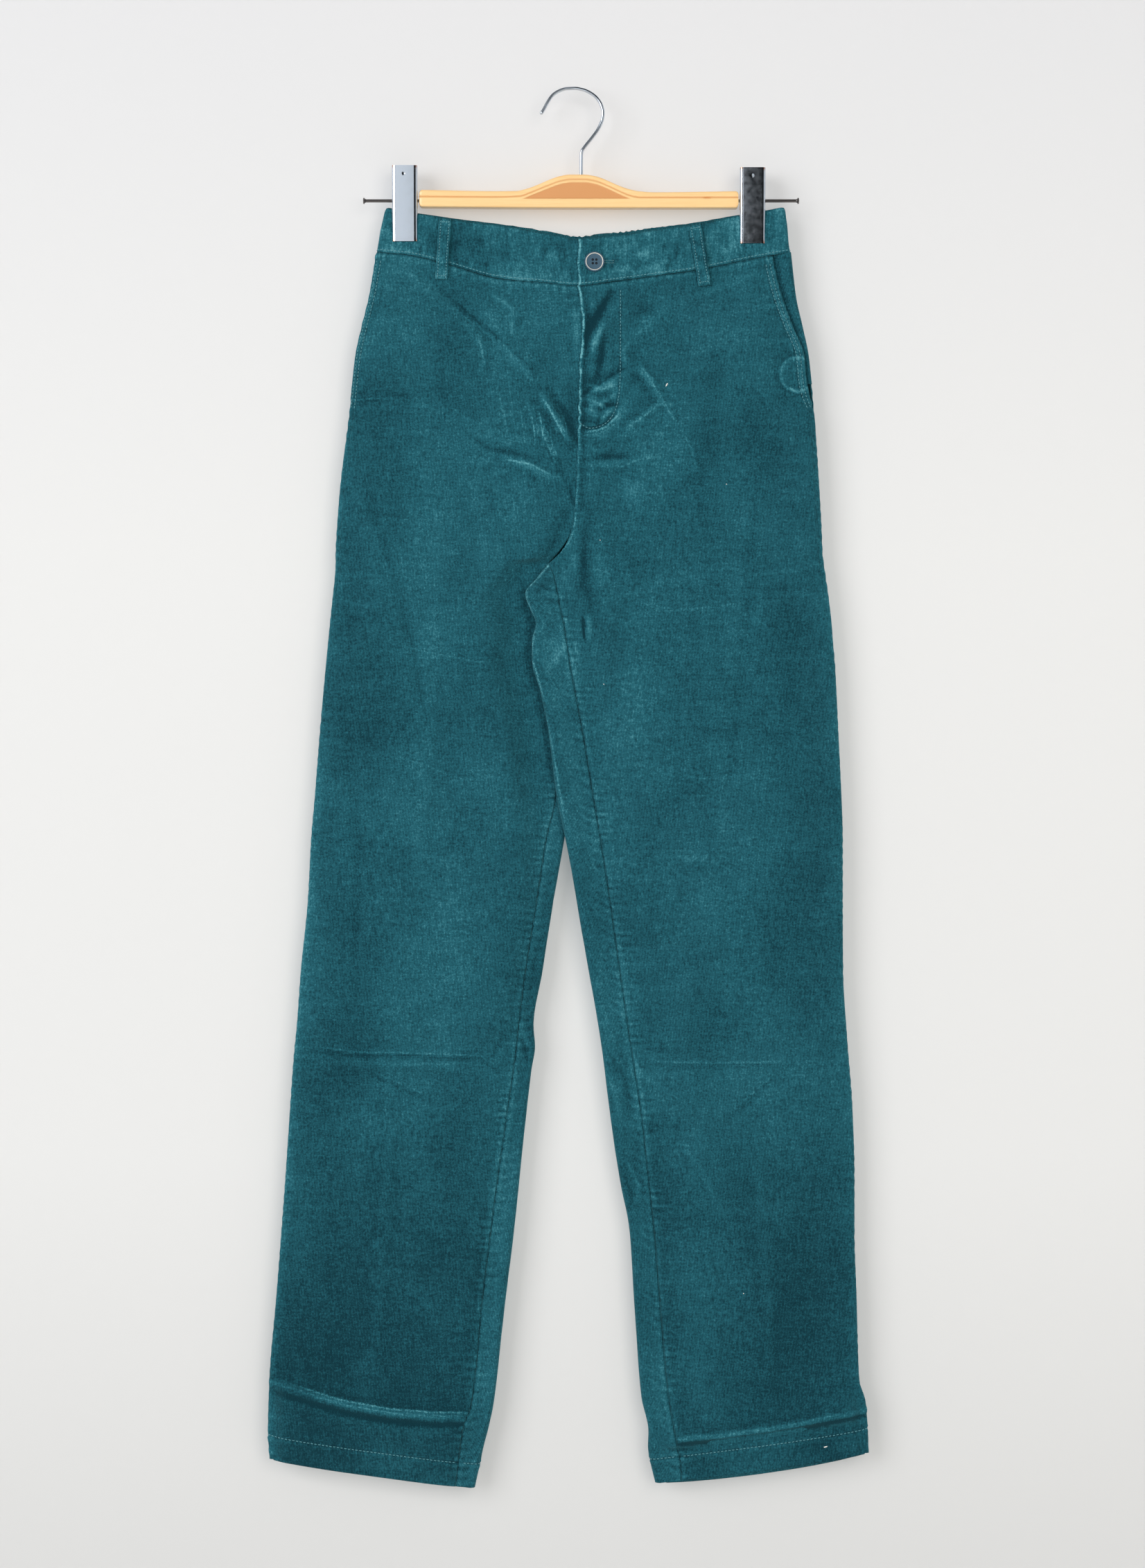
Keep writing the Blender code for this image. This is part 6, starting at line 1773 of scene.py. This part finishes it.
camera = bpy.data.cameras.new("camera")
camera.sensor_width = 36.0
camera.lens = 36.0 * DISTANCE / TALL
eye = bpy.data.objects.new("camera", camera)
eye.location = (CENTRE[0] * MM, -DISTANCE * MM, CENTRE[1] * MM)
eye.rotation_euler = (math.pi / 2, 0, 0)
bpy.context.scene.collection.objects.link(eye)
bpy.context.scene.camera = eye


def area_light(name, size, power, at, towards, colour="ffffff"):
    """A soft rectangular lamp that faces a place; sizes and places in metres."""
    light = bpy.data.lights.new(name, "AREA")
    light.shape, light.size, light.size_y = "RECTANGLE", *size
    light.energy, light.color = power, paint(colour)[:3]
    o = bpy.data.objects.new(name, light)
    o.location = at
    way = np.array(towards, float) - np.array(at, float)
    yaw, pitch = math.atan2(way[1], way[0]), math.atan2(way[2], math.hypot(way[0], way[1]))
    o.rotation_euler = (math.pi / 2 + pitch, 0, yaw - math.pi / 2)
    bpy.context.scene.collection.objects.link(o)
    return o


area_light("key", (3.0, 2.8), 124.0, (-3.0, -3.8, 0.5), (0, 0, -0.5), "fbfcff")
fill = area_light("fill", (2.2, 2.4), 65.0, (1.1, -3.9, 0.0), (0, 0, -0.6), "fffaf3")
fill.visible_glossy = False  # to the right the chrome sees a dark room instead
area_light("rear", (2.0, 2.0), 48.0, (0.6, 2.6, 0.5), (0, 0, -0.6))
print("lens:", round(camera.lens), "mm")

# %% [markdown]
# ## Wall and floor
# A pale painted wall stands close behind the garment, and a floor lies far enough below to be out of the
# picture. Two flat rectangles do for them, because their join is out of the picture too. Both are only a
# setting, so they cast no shadow and can be seen through from behind.

# %% Wall and floor
WALL_Y, FLOOR, REACH = 22.0, -1600.0, 5000.0
plaster, tree, shader = material("wall_matt_paint")
height = node(tree, "SeparateXYZ", Vector=node(tree, "TexCoord").outputs["Object"]).outputs[2]
shade = node(tree, "ValToRGB", Fac=node(tree, "MapRange", Value=height, i1=-1.3, i2=0.1).outputs[0])
# painted shade: the wall and floor get darker towards the foot, where less light falls, and a little towards
# the top
WALL_FALLOFF_TONES = [(0.0, "b8b8b7"), (0.3, "c5c5c4"), (0.66, "c7c7c6"), (1.0, "c2c2c3")]  # from the foot to the top
set_stops(shade, WALL_FALLOFF_TONES)
painted_falloff = shade.outputs[0]
# the wall glows a little in its own colour, as if it had a lamp of its own in the studio, which evens out the
# shadows on it
give(tree, shader, Base_Color=painted_falloff, Roughness=1.0, Emission_Color=painted_falloff, Emission_Strength=0.39)
give(tree, shader, Specular_IOR_Level=0.1)
clear = node(tree, "BsdfTransparent")
behind = node(tree, "NewGeometry").outputs["Backfacing"]
mixed = node(tree, "MixShader", i0=behind, i1=shader.outputs[0], i2=clear.outputs[0])
tree.links.new(mixed.outputs[0], tree.nodes["Material Output"].inputs[0])


def backdrop(name, corners):
    """A painted rectangle of the set, which isn't a part of the object."""
    o = add_mesh(name, corners, [[0, 1, 2, 3]], plaster)
    o.visible_shadow = False
    o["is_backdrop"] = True


rectangle = ((-REACH, -1), (REACH, -1), (REACH, 1), (-REACH, 1))
backdrop("wall", [(x, WALL_Y, FLOOR if end < 0 else REACH) for x, end in rectangle])
backdrop("floor", [(x, end * REACH, FLOOR) for x, end in rectangle])
print("stage pieces: wall and floor")

# %% [markdown]
# ## What the chrome sees
# Chrome has no look of its own, so it needs a room to mirror. Only its mirrored rays meet this room: bright
# windows far left, left of the camera and far right, with a dark room between them. All other rays meet a
# plain grey.

# %% Room round the set
world = bpy.data.worlds.new("studio")
world.use_nodes = True
bpy.context.scene.world = world
tree = world.node_tree
way = node(tree, "SeparateXYZ", Vector=node(tree, "TexCoord").outputs["Generated"]).outputs
room = node(tree, "ValToRGB", Fac=maths(tree, "MULTIPLY_ADD", way[0], 0.5, 0.5))
GREY, PALE, BRIGHT = "5a5b5c", "f2f5f8", "f7fbff"
WINDOWS = [  # place from the far left to the far right, colour
    (0, GREY), (0.04, PALE), (0.16, PALE), (0.2, GREY), (0.4, GREY), (0.42, BRIGHT), (0.495, BRIGHT),
    (0.505, "1d1e1e"), (0.72, "232424"), (0.78, GREY), (0.84, PALE), (0.94, PALE), (1, GREY),
]  # fmt: skip
set_stops(room, WINDOWS)
# the ceiling and the floor are darker than the walls
upwards = maths(tree, "ABSOLUTE", way[2])
level = node(tree, "MapRange", Value=upwards, i1=0.25, i2=0.6, i3=0.95, i4=0.2).outputs[0]
room = node(tree, "Background", Color=room.outputs[0], Strength=level)
plain = tree.nodes["Background"]
plain.inputs[0].default_value = paint("9b9d9e")
rays = node(tree, "LightPath").outputs
# the room round the set is pale to look at, and lights the object less than it looks
tree.links.new(maths(tree, "MULTIPLY_ADD", rays["Is Camera Ray"], 0.9, 1.0), plain.inputs[1])
mixed = node(tree, "MixShader", i0=rays["Is Glossy Ray"], i1=plain.outputs[0], i2=room.outputs[0])
tree.links.new(mixed.outputs[0], tree.nodes["World Output"].inputs[0])
bpy.context.scene.view_settings.view_transform = "Standard"
print("stops in the room:", len(WINDOWS))

# %% [markdown]
# ## Size
# The visual model has to stay inside the box of the solids, apart from a little that cloth may stand proud.

# %% Print the sizes of both boxes
dressed_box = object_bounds()
rows = {"cad": [list(map(float, c)) for c in cad_box], "visual": [list(map(float, c)) for c in dressed_box]}
for name, (low, high) in rows.items():
    print(name, [round((b - a) / MM, 1) for a, b in zip(low, high)])
